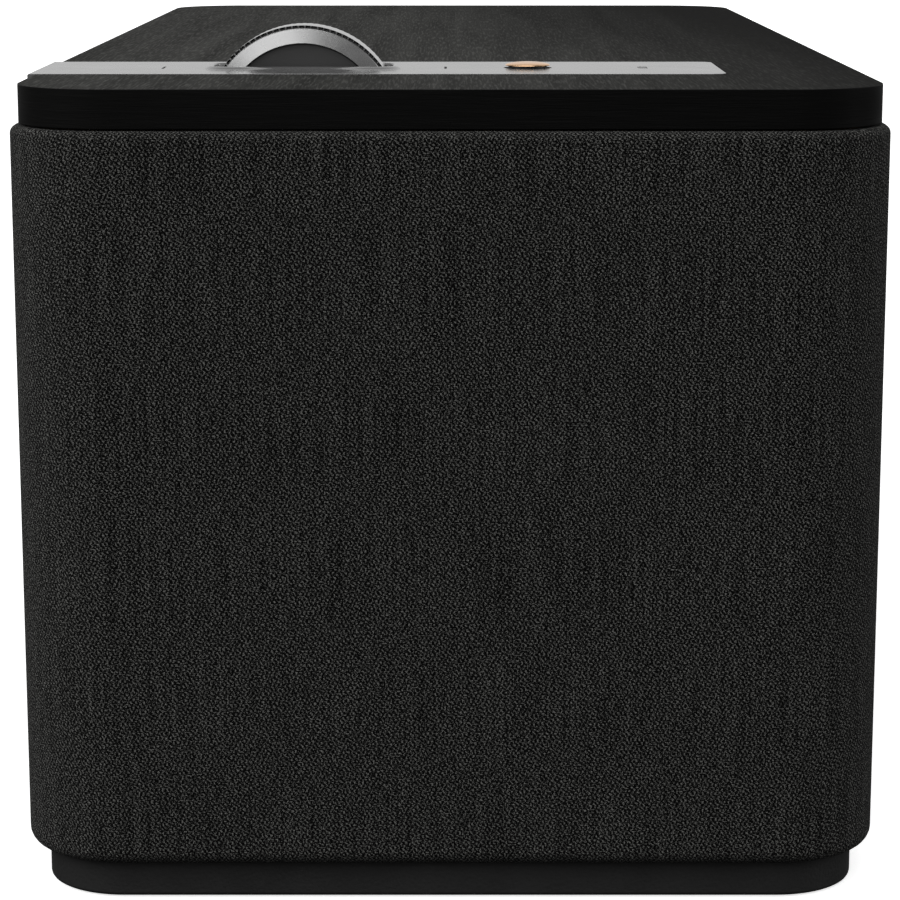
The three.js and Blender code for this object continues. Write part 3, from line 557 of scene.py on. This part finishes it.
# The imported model's materials, by the record's slots. A node that is replaced is hidden.
CARRIED = {
    "rubber": RUBBER,
    "moulded_plastic": PLASTIC,
    "fibreboard": BOARD,
    "steel": STEEL,
    "black_metal": BLACK_METAL,
    "ferrite": FERRITE,
    "cone": CONE,
    "satin_aluminium": CONE_METAL,
    "copper_wire": WIRE,
    "spider_cloth": SPIDER,
    "circuit_board": CIRCUIT,
    "light_lens": LENS,
    "switch_plastic": SWITCH_PLASTIC,
    "base_plastic": BASE_PLASTIC,
    "black_wood": WOOD_TOP,
    "polished_aluminium": BAND_METAL,
    "dark_disc": DISC,
    "copper_finish": COPPER,
    "grille_fabric": CLOTH,
}
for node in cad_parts.values():
    for i, material in enumerate(node.data.materials):
        node.material_slots[i].link = "OBJECT"
        node.material_slots[i].material = CARRIED[material.name.split(".")[0]]


# ---- Speaker cloth -----------------------------------------------------------------------------
def plan_ring(inset, level, steps=14):
    """The cabinet's outline, drawn in by inset, at a level."""
    ring = rounded(HALF_X - inset, HALF_Y - inset, CORNER - inset, steps)
    return [(x, y, level) for x, y in ring]


def cloth_section(inward, steps=6):
    """(inset, level) from the lower turned edge to the upper one, inward of the outer side."""
    bottom_reach, top_reach = BOTTOM_ROLL - inward, TOP_ROLL - inward
    bottom_centre, top_centre = CLOTH_BOTTOM + BOTTOM_ROLL, CLOTH_TOP - TOP_ROLL
    angles = [math.pi / 2 * i / steps for i in range(steps + 1)]
    turns = [(math.sin(a), math.cos(a)) for a in angles]
    return [
        (CLOTH_TURN, CLOTH_BOTTOM + inward),
        *[(BOTTOM_ROLL - bottom_reach * s, bottom_centre - bottom_reach * c) for s, c in turns],
        *[(TOP_ROLL - top_reach * c, top_centre + top_reach * s) for s, c in turns],
        (CLOTH_TURN, CLOTH_TOP - inward),
    ]


STRAIGHT_X, STRAIGHT_Y, ARC = HALF_X - CORNER, HALF_Y - CORNER, math.pi / 2 * CORNER
WAY_ROUND = 4 * (STRAIGHT_X + STRAIGHT_Y + ARC)


def way_round(x, y):
    """How far round the cloth a point is, in millimetres, from the +x side's -y end."""
    if abs(y) <= STRAIGHT_Y and abs(x) > STRAIGHT_X:
        half_way = STRAIGHT_Y if x > 0 else 3 * STRAIGHT_Y + 2 * STRAIGHT_X + 2 * ARC
        return half_way + (y if x > 0 else -y)
    if abs(x) <= STRAIGHT_X:
        first, last = 2 * STRAIGHT_Y + STRAIGHT_X + ARC, 4 * STRAIGHT_Y + 3 * STRAIGHT_X + 3 * ARC
        return first - x if y > 0 else last + x
    angle = math.atan2(abs(y) - STRAIGHT_Y, abs(x) - STRAIGHT_X)
    corner = {(True, True): 0, (False, True): 1, (False, False): 2, (True, False): 3}[x > 0, y > 0]
    if corner in (1, 3):
        angle = math.pi / 2 - angle
    sides_before = 2 * STRAIGHT_Y * (1 + corner // 2) + 2 * STRAIGHT_X * ((1 + corner) // 2)
    return sides_before + ARC * corner + CORNER * angle


def lay_out(obj):
    """Unrolls the cloth's UVs: the way round, and the height, in metres."""
    middle = (CLOTH_BOTTOM + CLOTH_TOP) / 2
    layer = obj.data.uv_layers.new(name="unrolled")
    for face in obj.data.polygons:
        first = None
        for loop in face.loop_indices:
            x, y, z = obj.data.vertices[obj.data.loops[loop].vertex_index].co / MM
            along = way_round(x, y)
            first = along if first is None else first
            along += WAY_ROUND * round((first - along) / WAY_ROUND)
            inset = HALF_X - max(abs(x), abs(y) - (HALF_Y - HALF_X))
            over = min(max(inset, 0), CLOTH_TURN)
            layer.data[loop].uv = (along * MM, (z + math.copysign(over, z - middle)) * MM)


panel_window = prism(
    PANEL_HALF_Y + FIT, PANEL_HALF_Z + FIT, PANEL_CORNER + FIT, THROUGH_PANEL,
    (0, 0, PANEL_Z), "x", 10,
)
outer = [plan_ring(inset, level) for inset, level in cloth_section(0)]
inner = [plan_ring(inset, level) for inset, level in cloth_section(CLOTH_THICKNESS)]
cloth = make("speaker_cloth", loft(outer + inner[::-1], wrap=True), CLOTH)
combine(cloth, [panel_window])
lay_out(cloth)
dress(cloth, "cabinet", "grille_fabric", "grille_cloth")

# ---- Top slab ----------------------------------------------------------------------------------
slab_levels = ends(SLAB_BOTTOM, SLAB_TOP, SLAB_EDGE, SLAB_EDGE)
slab = make("top_slab_veneer", loft([
    plan_ring(SLAB_INSET + inset, level, 18) for level, inset in slab_levels
]), WOOD_TOP, SHADED_WOOD_EDGE)
channel_near, channel_far = (STRIP_Y + side * (STRIP_WIDTH / 2 + FIT) for side in (-1, 1))
channel_levels = [(STRIP_BOTTOM - FIT, 0), (THROUGH_TOP[1][0], 0)]
notch_right = STRIP_LEFT + STRIP_THICKNESS + FIT
channel_right, channel_corner = STRIP_RIGHT + FIT, STRIP_CORNER + FIT
combine(slab, [
    block(CHANNEL_LEFT, channel_right, channel_near, channel_far, channel_corner, channel_levels),
    block(CHANNEL_LEFT, notch_right, channel_near, channel_far, SQUARE, THROUGH_TOP),
    block(POD_X[0] - FIT, POD_X[1] + FIT, POD_Y[0] - FIT, POD_Y[1] + FIT, SQUARE, THROUGH_TOP),
])
LEVEL_SLOT, SHADED_EDGE_SLOT = 0, 1  # places in the slab's materials
# Painted shade: every face that doesn't face up takes the darker edge copy of the wood.
for face in slab.data.polygons:
    face.material_index = LEVEL_SLOT if abs(face.normal.z) > 0.8 else SHADED_EDGE_SLOT
dress(slab, "cabinet", "black_wood", "top_slab")


# ---- Control strip -----------------------------------------------------------------------------
def strip_section():
    """(x, z) of the bent strip, from its right end round the bend and back."""
    centre_x, centre_z = STRIP_LEFT + STRIP_BEND, STRIP_TOP - STRIP_BEND
    bend = [
        (centre_x - STRIP_BEND * math.sin(a), centre_z + STRIP_BEND * math.cos(a))
        for a in (math.pi / 2 * i / 8 for i in range(9))
    ]
    return [
        (STRIP_RIGHT, STRIP_BOTTOM), (STRIP_RIGHT, STRIP_TOP), *bend, (STRIP_LEFT, SLAB_BOTTOM),
        (STRIP_LEFT + STRIP_THICKNESS, SLAB_BOTTOM), (STRIP_LEFT + STRIP_THICKNESS, STRIP_BOTTOM),
    ]


SLOT_HALF = ((SLOT_RIGHT - SLOT_LEFT) / 2, SLOT_WIDTH / 2)
SLOT_CENTRE = ((SLOT_LEFT + SLOT_RIGHT) / 2, STRIP_Y, 0)


def lip_shape():
    """A raised rim round the wheel's slot that sinks into the strip in a long fillet."""
    lip_top = STRIP_TOP + LIP_HEIGHT
    section = [(0, STRIP_BOTTOM), (0, lip_top - LIP_CROWN)]
    section += [
        (-LIP_CROWN * (1 - math.cos(a)), lip_top - LIP_CROWN * (1 - math.sin(a)))
        for a in (math.pi / 2 * i / 3 for i in range(1, 4))
    ]
    for i in range(1, 9):
        share = i / 8
        fall = (math.cos(math.pi * share) + 1) / 2
        inset = -(LIP_WALL + (LIP_SPREAD - LIP_WALL) * share)
        section.append((inset, STRIP_TOP - LIP_SINK + LIP_HEIGHT * fall))
    section.append((-LIP_SPREAD, STRIP_BOTTOM))
    rings = []
    for inset, level in section:
        ring = rounded(SLOT_HALF[0] - inset, SLOT_HALF[1] - inset, SLOT_CORNER - inset, 10)
        rings.append(shifted([(x, y, level) for x, y in ring], SLOT_CENTRE))
    return loft(rings, wrap=True)


strip_near, strip_far = STRIP_Y - STRIP_WIDTH / 2, STRIP_Y + STRIP_WIDTH / 2
strip_shape = extrude(strip_section(), strip_near, strip_far, "y")
strip = make("control_strip_plate", strip_shape, STRIP_METAL)
# Only the right end has rounded corners, so the block reaches far past the left end.
combine(strip, [
    block(STRIP_RIGHT - 160, STRIP_RIGHT, strip_near, strip_far, STRIP_CORNER, THROUGH_TOP),
], "INTERSECT")
combine(strip, [lip_shape()], "UNION")
combine(strip, [
    prism(*SLOT_HALF, SLOT_CORNER, THROUGH_TOP, SLOT_CENTRE, steps=10),
    round_hole(BUTTON_RADIUS + FIT, THROUGH_TOP, (BUTTON_X, STRIP_Y, 0), steps=12),
    prism(LENS_HOLE_X, LENS_HOLE_Y, LENS_HOLE_X - ROUND, THROUGH_TOP, (LENS_X, STRIP_Y, 0)),
    *[
        prism(TICK_HALF_X, TICK_HALF_Y, 0.05, THROUGH_TOP, (x, STRIP_Y, 0), steps=2)
        for x in TICK_XS
    ],
])
bevel(strip, 0.08, 1, 60)
dress(strip, "cabinet", "satin_aluminium", "control_strip")

# ---- Volume wheel ------------------------------------------------------------------------------
wheel_centre = (WHEEL_X, STRIP_Y, WHEEL_Z)
front, back = -WHEEL_HALF, WHEEL_HALF
FACE_INNER, GROOVE_RADIUS, WALL_NEAR = 14.5, 16.5, front + 1.3
BAND_RADIUS = WHEEL_RADIUS - 0.04
# The conical face, the groove behind it, the notched wall, the knurled band and the back.
rim_profile = [
    (FACE_INNER, front + 1.1), (FACE_INNER, front + 0.12), (FACE_INNER + 0.12, front),
    (WHEEL_FACE - 0.12, front + 0.5), (WHEEL_FACE, front + 0.62), (WHEEL_FACE - 0.4, front + 0.75),
    (GROOVE_RADIUS, front + 0.8), (GROOVE_RADIUS, WALL_NEAR), (WHEEL_RADIUS - 0.24, WALL_NEAR),
    (WHEEL_RADIUS - 0.08, WALL_NEAR + 0.1), (BAND_RADIUS, WALL_NEAR + 0.4),
    (BAND_RADIUS, back - 0.5), (WHEEL_RADIUS - 0.3, back - 0.2), (WHEEL_FACE - 0.4, back),
    (WHEEL_INNER, back), (WHEEL_INNER, back - 0.7), (FACE_INNER, back - 0.7),
]
WALL_POINTS, BAND_POINTS = (7, 8), (10, 11)  # places in rim_profile
TOOTH_STEPS, TOOTH_SHARE, NOTCH_DEPTH, KNURL_DEPTH = 8, 0.3, 0.5, 0.05
FACE_SLOT, BAND_SLOT, SHADED_GROOVE_SLOT = 0, 1, 2  # places in the rim's materials


def knurl(point, radius, level, angle):
    """Notches in the wall behind the groove, and fine ridges over the band."""
    phase = (angle * WHEEL_TEETH / (2 * math.pi)) % 1
    if point in WALL_POINTS and phase > TOOTH_SHARE:
        return radius - 0.1, level + NOTCH_DEPTH
    if point in BAND_POINTS:
        return radius - KNURL_DEPTH * abs(2 * phase - 1), level
    return radius, level


wheel = make(
    "volume_wheel_rim",
    lathe(rim_profile, wheel_centre, "y", WHEEL_TEETH * TOOTH_STEPS, closed=True, ripple=knurl),
    FACE_METAL, BAND_METAL, SHADED_GROOVE_METAL,
)
# Painted shade: the groove and the notches between the teeth take the near-black metal; the teeth
# keep the face's metal.
for face in wheel.data.polygons:
    middle = face.center / MM - Vector(wheel_centre)
    radius = math.hypot(middle.x, middle.z)
    if front + 0.64 < middle.y < back - 1 and FACE_INNER + 1 < radius < WHEEL_RADIUS - 0.1:
        tooth = middle.y < WALL_NEAR + 0.02 and radius > GROOVE_RADIUS + 0.1
        face.material_index = FACE_SLOT if tooth else SHADED_GROOVE_SLOT
    elif middle.y > WALL_NEAR:
        face.material_index = BAND_SLOT
dress(wheel, "volume_wheel", "polished_aluminium", "wheel_rim")

AXLE_HOLE = 2.3
disc_profile = [
    (0, front + 0.75), (AXLE_HOLE + 0.3, front + 0.75), (AXLE_HOLE + 0.6, front + 0.8),
    (11, front + 0.8), (13.6, front + 0.7), (FACE_INNER - 0.15, front + 0.6),
    (FACE_INNER - 0.02, front + 0.75), (FACE_INNER - 0.02, back - 0.9),
    (FACE_INNER - 0.3, back - 0.75), (0, back - 0.75),
]
axle_profile = [(0, front - 1), (AXLE_HOLE, front - 1), (AXLE_HOLE, back + 1), (0, back + 1)]
disc = make("volume_wheel_disc", lathe(disc_profile, wheel_centre, "y", 96), DISC)
combine(disc, [lathe(axle_profile, wheel_centre, "y", 32)])
dress(disc, "volume_wheel", "dark_disc", "wheel_hub")

# ---- Source button -----------------------------------------------------------------------------
DOME_HEIGHT, DOME_DROP, NECK, SKIRT, STEM = 0.63, 0.81, 3.5, 1.8, 2.4
button_low, button_high = (v.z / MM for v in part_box("source_button"))
dome_rim = button_high - DOME_DROP
dome = [
    (BUTTON_RADIUS * math.sin(a), dome_rim + DOME_HEIGHT * math.cos(a))
    for a in (math.pi / 2 * i / 12 for i in range(13))
]
button_profile = [
    *dome, (BUTTON_RADIUS - 0.05, dome_rim - 0.08), (NECK, dome_rim - 0.2),
    (NECK - 0.1, dome_rim - SKIRT), (STEM, dome_rim - SKIRT), (STEM, button_low), (0, button_low),
]
button_shape = lathe(button_profile, (BUTTON_X, STRIP_Y, 0), "z", 64)
button = make("source_button_dome", button_shape, COPPER, SHADED_GROOVE_METAL)
DOME_SLOT, SHADED_NECK_SLOT = 0, 1  # places in the button's materials
# Painted shade: the neck under the cap takes the near-black metal, which darkens the gap below the
# cap.
for face in button.data.polygons:
    face.material_index = SHADED_NECK_SLOT if face.center.z / MM < dome_rim - 0.1 else DOME_SLOT
dress(button, "source_button", "copper_finish", "source_button")

# ---- Base, feet and screws ---------------------------------------------------------------------
FOOT_PLACES = [(x, y) for y in (-FOOT_Y, FOOT_Y) for x in (-FOOT_X, FOOT_X)]
SCREW_PLACES = [(x, y) for y in (-SCREW_Y, SCREW_Y) for x in (-SCREW_X, SCREW_X)]
POCKET_TOP, HEAD_SEAT = 2.3, 2.9
HEAD_HOLE, SHANK_HOLE = 3.5, 1.9


def foot_outline(growth, levels, place):
    half = FOOT_WIDTH / 2 + growth
    return prism(FOOT_LENGTH / 2 + growth, half, half - ROUND, levels, (*place, 0))


plinth_levels = ends(BASE_BOTTOM, BASE_TOP, 0.8, 0.3, 4)
plinth = make("base_plinth_body", loft([
    plan_ring(BASE_INSET + inset, level, 18) for level, inset in plinth_levels
]), BASE_PLASTIC)
combine(plinth, [
    *[foot_outline(FIT, [(0, 0), (POCKET_TOP, 0)], place) for place in FOOT_PLACES],
    *[round_hole(HEAD_HOLE, [(0, 0), (HEAD_SEAT + 0.2, 0)], (x, y, 0)) for x, y in SCREW_PLACES],
    *[round_hole(SHANK_HOLE, [(2, 0), (8, 0)], (x, y, 0)) for x, y in SCREW_PLACES],
])
dress(plinth, "cabinet", "base_plastic", "base_plinth")

pad_levels = ends(0, 2, 0.4, 0.1)
for number, (x, y) in enumerate(FOOT_PLACES, 1):
    foot = make(f"foot_pad_ribbed_{number}", foot_outline(0, pad_levels, (x, y)), RUBBER)
    combine(foot, [
        prism(FOOT_LENGTH / 2 - 6, 0.3, 0.29, [(-1, 0), (0.5, 0)], (x, y + offset, 0), steps=3)
        for offset in (-3, -1, 1, 3)
    ])
    dress(foot, "cabinet", "rubber", f"foot_pad_{number}")


def screw(name, place, axis, head, shank, crown, seat, tip, material):
    """A cross-recessed screw. Along the axis, its head's face is at crown and its end at tip."""
    way = 1 if tip > crown else -1
    pitch, depth = 0.8, 0.25
    profile = [
        (0, crown), (head * 0.55, crown), (head * 0.86, crown + way * 0.25),
        (head, crown + way * 0.8), (head, seat), (shank, seat),
    ]
    level = seat + way * pitch
    while abs(tip - level) > 2 * pitch:
        profile += [(shank - depth, level), (shank, level + way * pitch / 2)]
        level += way * pitch
    profile += [(shank - depth, level), (0, tip)]
    long, short, recess = head * 0.62, 0.35, [(crown - way, 0), (crown + way, 0.12)]
    arms = [
        prism(half_u, half_v, 0.03, recess, place, axis, 2)
        for half_u, half_v in ((long, short), (short, long))
    ]
    return combine(make(name, lathe(profile, place, axis, 24), material), arms)


for number, (x, y) in enumerate(SCREW_PLACES, 1):
    made = screw(
        f"base_screw_cross_{number}", (x, y, 0), "z", head=3.2, shank=1.5,
        crown=1.2, seat=HEAD_SEAT, tip=10.6, material=STEEL,
    )
    dress(made, "cabinet", "steel", f"base_screw_{number}")

# ---- Connection panel --------------------------------------------------------------------------
# Half width, half height and corner of what sits in the panel, as in the CAD.
INLET_HOLE, INLET_BODY = (8.9, 5.9, 3.0), (8.6, 5.6, 2.7)
ROCKER_HOLE = (6.0, 9.0, 1.0)
USB_HOLE, USB_SHELL, USB_MOUTH, USB_TONGUE = (
    (4.8, 2.1, 2.09), (4.5, 1.8, 1.79), (4.1, 1.4, 1.39), (3.3, 0.35, 0.1)
)
PAIRING_HOLE, AUX_HOLE, SCREW_HOLE, SCREW_SINK = 3.35, 4.3, 1.7, 3.1
INLET_RECESS, PIN_OFFSET = 4.05, 3.9
INLET_AT, ROCKER_AT, PAIRING_AT, AUX_AT, USB_AT = (
    (0, y, PANEL_Z) for y in (INLET_Y, ROCKER_Y, PAIRING_Y, AUX_Y, USB_Y)
)
SCREWS_AT = [(0, y, PANEL_Z) for y in PANEL_SCREW_YS]


def figure_eight(radius, offset, steps=14):
    """The outline of two circles side by side that just run into each other."""
    meet = math.acos(-offset / radius)
    right = [
        (offset + radius * math.cos(a), radius * math.sin(a))
        for a in (-meet + 2 * meet * i / steps for i in range(steps + 1))
    ]
    return right + [(-u, -v) for u, v in right[1:-1]]


PANEL_LEVELS = [
    (PANEL_BACK, 0), (PANEL_FACE - 0.6, 0), (PANEL_FACE - 0.18, 0.18), (PANEL_FACE, 0.6),
    (PANEL_FACE, RECESS_INSET - 0.5), (PANEL_FACE - 0.15, RECESS_INSET - 0.15),
    (PANEL_FACE - PANEL_RECESS, RECESS_INSET),
]
panel = make("connection_panel_body", prism(
    PANEL_HALF_Y, PANEL_HALF_Z, PANEL_CORNER, PANEL_LEVELS, (0, 0, PANEL_Z), "x", 10,
), PLASTIC)
combine(panel, [
    prism(*INLET_HOLE, THROUGH_PANEL, INLET_AT, "x"),
    prism(*ROCKER_HOLE, THROUGH_PANEL, ROCKER_AT, "x", 4),
    round_hole(PAIRING_HOLE, THROUGH_PANEL, PAIRING_AT, "x"),
    round_hole(AUX_HOLE, THROUGH_PANEL, AUX_AT, "x"),
    prism(*USB_HOLE, THROUGH_PANEL, USB_AT, "x"),
    *[round_hole(SCREW_HOLE, THROUGH_PANEL, place, "x") for place in SCREWS_AT],
    *[round_hole(SCREW_SINK, [(72.6, 0), (80, 0)], place, "x") for place in SCREWS_AT],
])


def grown(size, amount):
    return tuple(s + amount for s in size)


# A raised frame round the inlet and round the rocker.
recess_floor = PANEL_FACE - PANEL_RECESS
for place, hole, width in ((INLET_AT, INLET_HOLE, 0.8), (ROCKER_AT, ROCKER_HOLE, 0.9)):
    rings = []
    for growth, rise in [
        (width, -0.3), (width, 0.3), (width - 0.2, 0.5), (0.2, 0.5), (0, 0.3), (0, -0.3),
    ]:
        ring = rounded(*grown(hole, growth))
        rings.append(shifted([turn("x", u, v, recess_floor + rise) for u, v in ring], place))
    combine(panel, [loft(rings, wrap=True)], "UNION")
bevel(panel, 0.12, 2, 60)
dress(panel, "cabinet", "moulded_plastic", "connection_panel")

for number, place in enumerate(SCREWS_AT, 1):
    made = screw(
        f"panel_screw_cross_{number}", place, "x", head=2.8, shank=1.3,
        crown=73.8, seat=72.7, tip=62.0, material=BLACK_METAL,
    )
    dress(made, "cabinet", "black_metal")

inlet_shape = prism(*INLET_BODY, ends(62.1, 73.5, 0.2, 0.3), INLET_AT, "x")
inlet = make("power_inlet_socket", inlet_shape, PLASTIC)
combine(inlet, [extrude(figure_eight(INLET_RECESS, PIN_OFFSET), 64.1, 76, "x", INLET_AT)])
bevel(inlet, 0.2, 2, 60)
dress(inlet, "cabinet", "moulded_plastic", "power_inlet")

pin_profile = [(0, 58.8), (1.15, 58.8), (1.15, 71.0), (0.95, 71.7), (0.55, 72.05), (0, 72.1)]
pins = join(*[
    make(f"inlet_contact_{i}", lathe(pin_profile, (0, INLET_Y + offset, PANEL_Z), "x", 24), STEEL)
    for i, offset in enumerate((-PIN_OFFSET, PIN_OFFSET), 1)
])
pins.name = "inlet_contacts"
dress(pins, "cabinet", "steel", "inlet_pins")

jack_profile = [
    (1.8, 60), (1.8, 73.2), (2.0, 73.5), (3.4, 73.6),
    (4.0, 73.2), (4.0, 58.4), (1.2, 58.1), (1.2, 60),
]
jack = make("aux_jack_collar", lathe(jack_profile, AUX_AT, "x", 48, closed=True), PLASTIC)
dress(jack, "cabinet", "moulded_plastic", "aux_jack")

shell_shape = prism(*USB_SHELL, ends(64.4, 73.4, 0.1, 0.12), USB_AT, "x")
tongue_shape = prism(*USB_TONGUE, ends(65.5, 72.6, 0.1, 0.15), USB_AT, "x", 3)
usb = make("usb_port_shell", shell_shape, STEEL, SWITCH_PLASTIC)
combine(usb, [prism(*USB_MOUTH, [(66, 0), (75, 0)], USB_AT, "x")])
tongue = make("usb_tongue", tongue_shape, STEEL, SWITCH_PLASTIC)
for face in tongue.data.polygons:
    face.material_index = 1  # the plastic, once the tongue is joined to the shell
join(usb, tongue)
dress(usb, "cabinet", "steel", "usb_port")

pairing_profile = [
    (0, 74.35), (1.6, 74.35), (2.5, 74.6), (2.85, 74.5), (3.0, 74.2),
    (3.0, 72.2), (2.4, 71.9), (2.4, 66.0), (0, 66.0),
]
pairing = make("pairing_button_cap", lathe(pairing_profile, PAIRING_AT, "x", 48), SWITCH_PLASTIC)
dress(pairing, "pairing_button", "switch_plastic", "pairing_button")


def rocker_section(steps=10):
    """(x, z) about the rocker's pivot, before it is tilted: a dished face on a short body."""
    shares = [2 * i / steps - 1 for i in range(steps + 1)]
    dish = [(ROCKER_FACE - ROCKER_DISH * (1 - s ** 2), ROCKER_HALF_Z * s) for s in shares]
    return [(ROCKER_BACK, -ROCKER_BACK_HALF), *dish, (ROCKER_BACK, ROCKER_BACK_HALF)]


tilt = Matrix.Rotation(ROCKER_TILT, 2)
tilted = [tuple(tilt @ Vector(p)) for p in rocker_section()]
rocker = make("power_rocker_key", extrude(
    tilted, -ROCKER_HALF_Y, ROCKER_HALF_Y, "y", (ROCKER_X, ROCKER_Y, PANEL_Z),
), SWITCH_PLASTIC)
bevel(rocker, 0.35, 2, 30)
dress(rocker, "power_rocker", "switch_plastic", "power_rocker")

# ---- Floor, light and camera -------------------------------------------------------------------
SIDE, NEAR, FAR = 9000, -9000, 14000
corners = [(-SIDE, NEAR, 0), (SIDE, NEAR, 0), (SIDE, FAR, 0), (-SIDE, FAR, 0)]
floor = make("floor", (corners, [(0, 1, 2, 3)]))
floor_finish = Finish("pale_floor", grey(0.88), 0.9, specular=0.1)
floor_finish.colour(floor_finish.noise(60.0, 3.0), (0.0, grey(0.87)), (1.0, grey(0.9)))
floor_finish.set("Emission Color", (1, 1, 1, 1))
floor_finish.set("Emission Strength", 0.7)
floor.data.materials.append(floor_finish.material)
floor.visible_glossy = False
floor.visible_diffuse = False


def aim(obj, towards):
    obj.rotation_mode = "QUATERNION"
    obj.rotation_quaternion = Vector(towards).to_track_quat("-Z", "Y")
    bpy.context.scene.collection.objects.link(obj)


def wide_light(name, towards, strength, spread):
    """Even light from one side of the studio; towards is the way that it shines."""
    data = bpy.data.lights.new(name, "SUN")
    data.energy = strength
    data.angle = math.radians(spread)
    aim(bpy.data.objects.new(name, data), towards)


def soft_box(name, place, size, power):
    """A square panel of light that faces the top of the object."""
    data = bpy.data.lights.new(name, "AREA")
    data.size = size
    data.energy = power
    obj = bpy.data.objects.new(name, data)
    obj.location = place
    aim(obj, Vector((0, -0.05, 0.12)) - Vector(place))


# The three wide lights come from the front and above, from the front, and from the right.
soft_box("key", (-0.8, -0.5, 0.62), 0.7, 4.0)
wide_light("overhead", (0.1, 0.6, -1), 1.2, 60)
wide_light("fill", (0.25, 0.9, -0.4), 0.35, 28)
wide_light("side", (-0.95, 0.1, -0.3), 0.5, 40)


def studio_world(even, backdrop):
    """An even glow from above the floor, with a lit white backdrop behind the object."""
    world = bpy.data.worlds.new("studio")
    world.use_nodes = True
    nodes, links = world.node_tree.nodes, world.node_tree.links
    way = nodes.new("ShaderNodeSeparateXYZ")
    links.new(nodes.new("ShaderNodeTexCoord").outputs["Generated"], way.inputs[0])

    def ramp(source, start, end, low, high):
        node = nodes.new("ShaderNodeMapRange")
        node.interpolation_type = "SMOOTHSTEP"
        links.new(source, node.inputs["Value"])
        limits = {"From Min": start, "From Max": end, "To Min": low, "To Max": high}
        for key, value in limits.items():
            node.inputs[key].default_value = value
        return node.outputs["Result"]

    total = nodes.new("ShaderNodeMath")
    total.operation = "MULTIPLY"
    links.new(ramp(way.outputs["Y"], 0.3, 0.9, even, backdrop), total.inputs[0])
    links.new(ramp(way.outputs["Z"], -0.12, 0.02, 0.1, 1.0), total.inputs[1])
    links.new(total.outputs[0], nodes["Background"].inputs["Strength"])
    nodes["Background"].inputs["Color"].default_value = (1, 1, 1, 1)
    bpy.context.scene.world = world


studio_world(0.22, 0.7)
bpy.context.scene.view_settings.view_transform = "Standard"

# The camera looks slightly down at the front, from a little above the top.
camera_data = bpy.data.cameras.new("camera")
camera_data.lens = 114.28
camera_data.sensor_width = 36
camera_data.shift_x = -0.0052
camera = bpy.data.objects.new("camera", camera_data)
camera.location = (0.00076, -0.63055, 0.17477)
camera.rotation_euler = (math.radians(78.68), 0, 0)
bpy.context.scene.collection.objects.link(camera)
bpy.context.scene.camera = camera
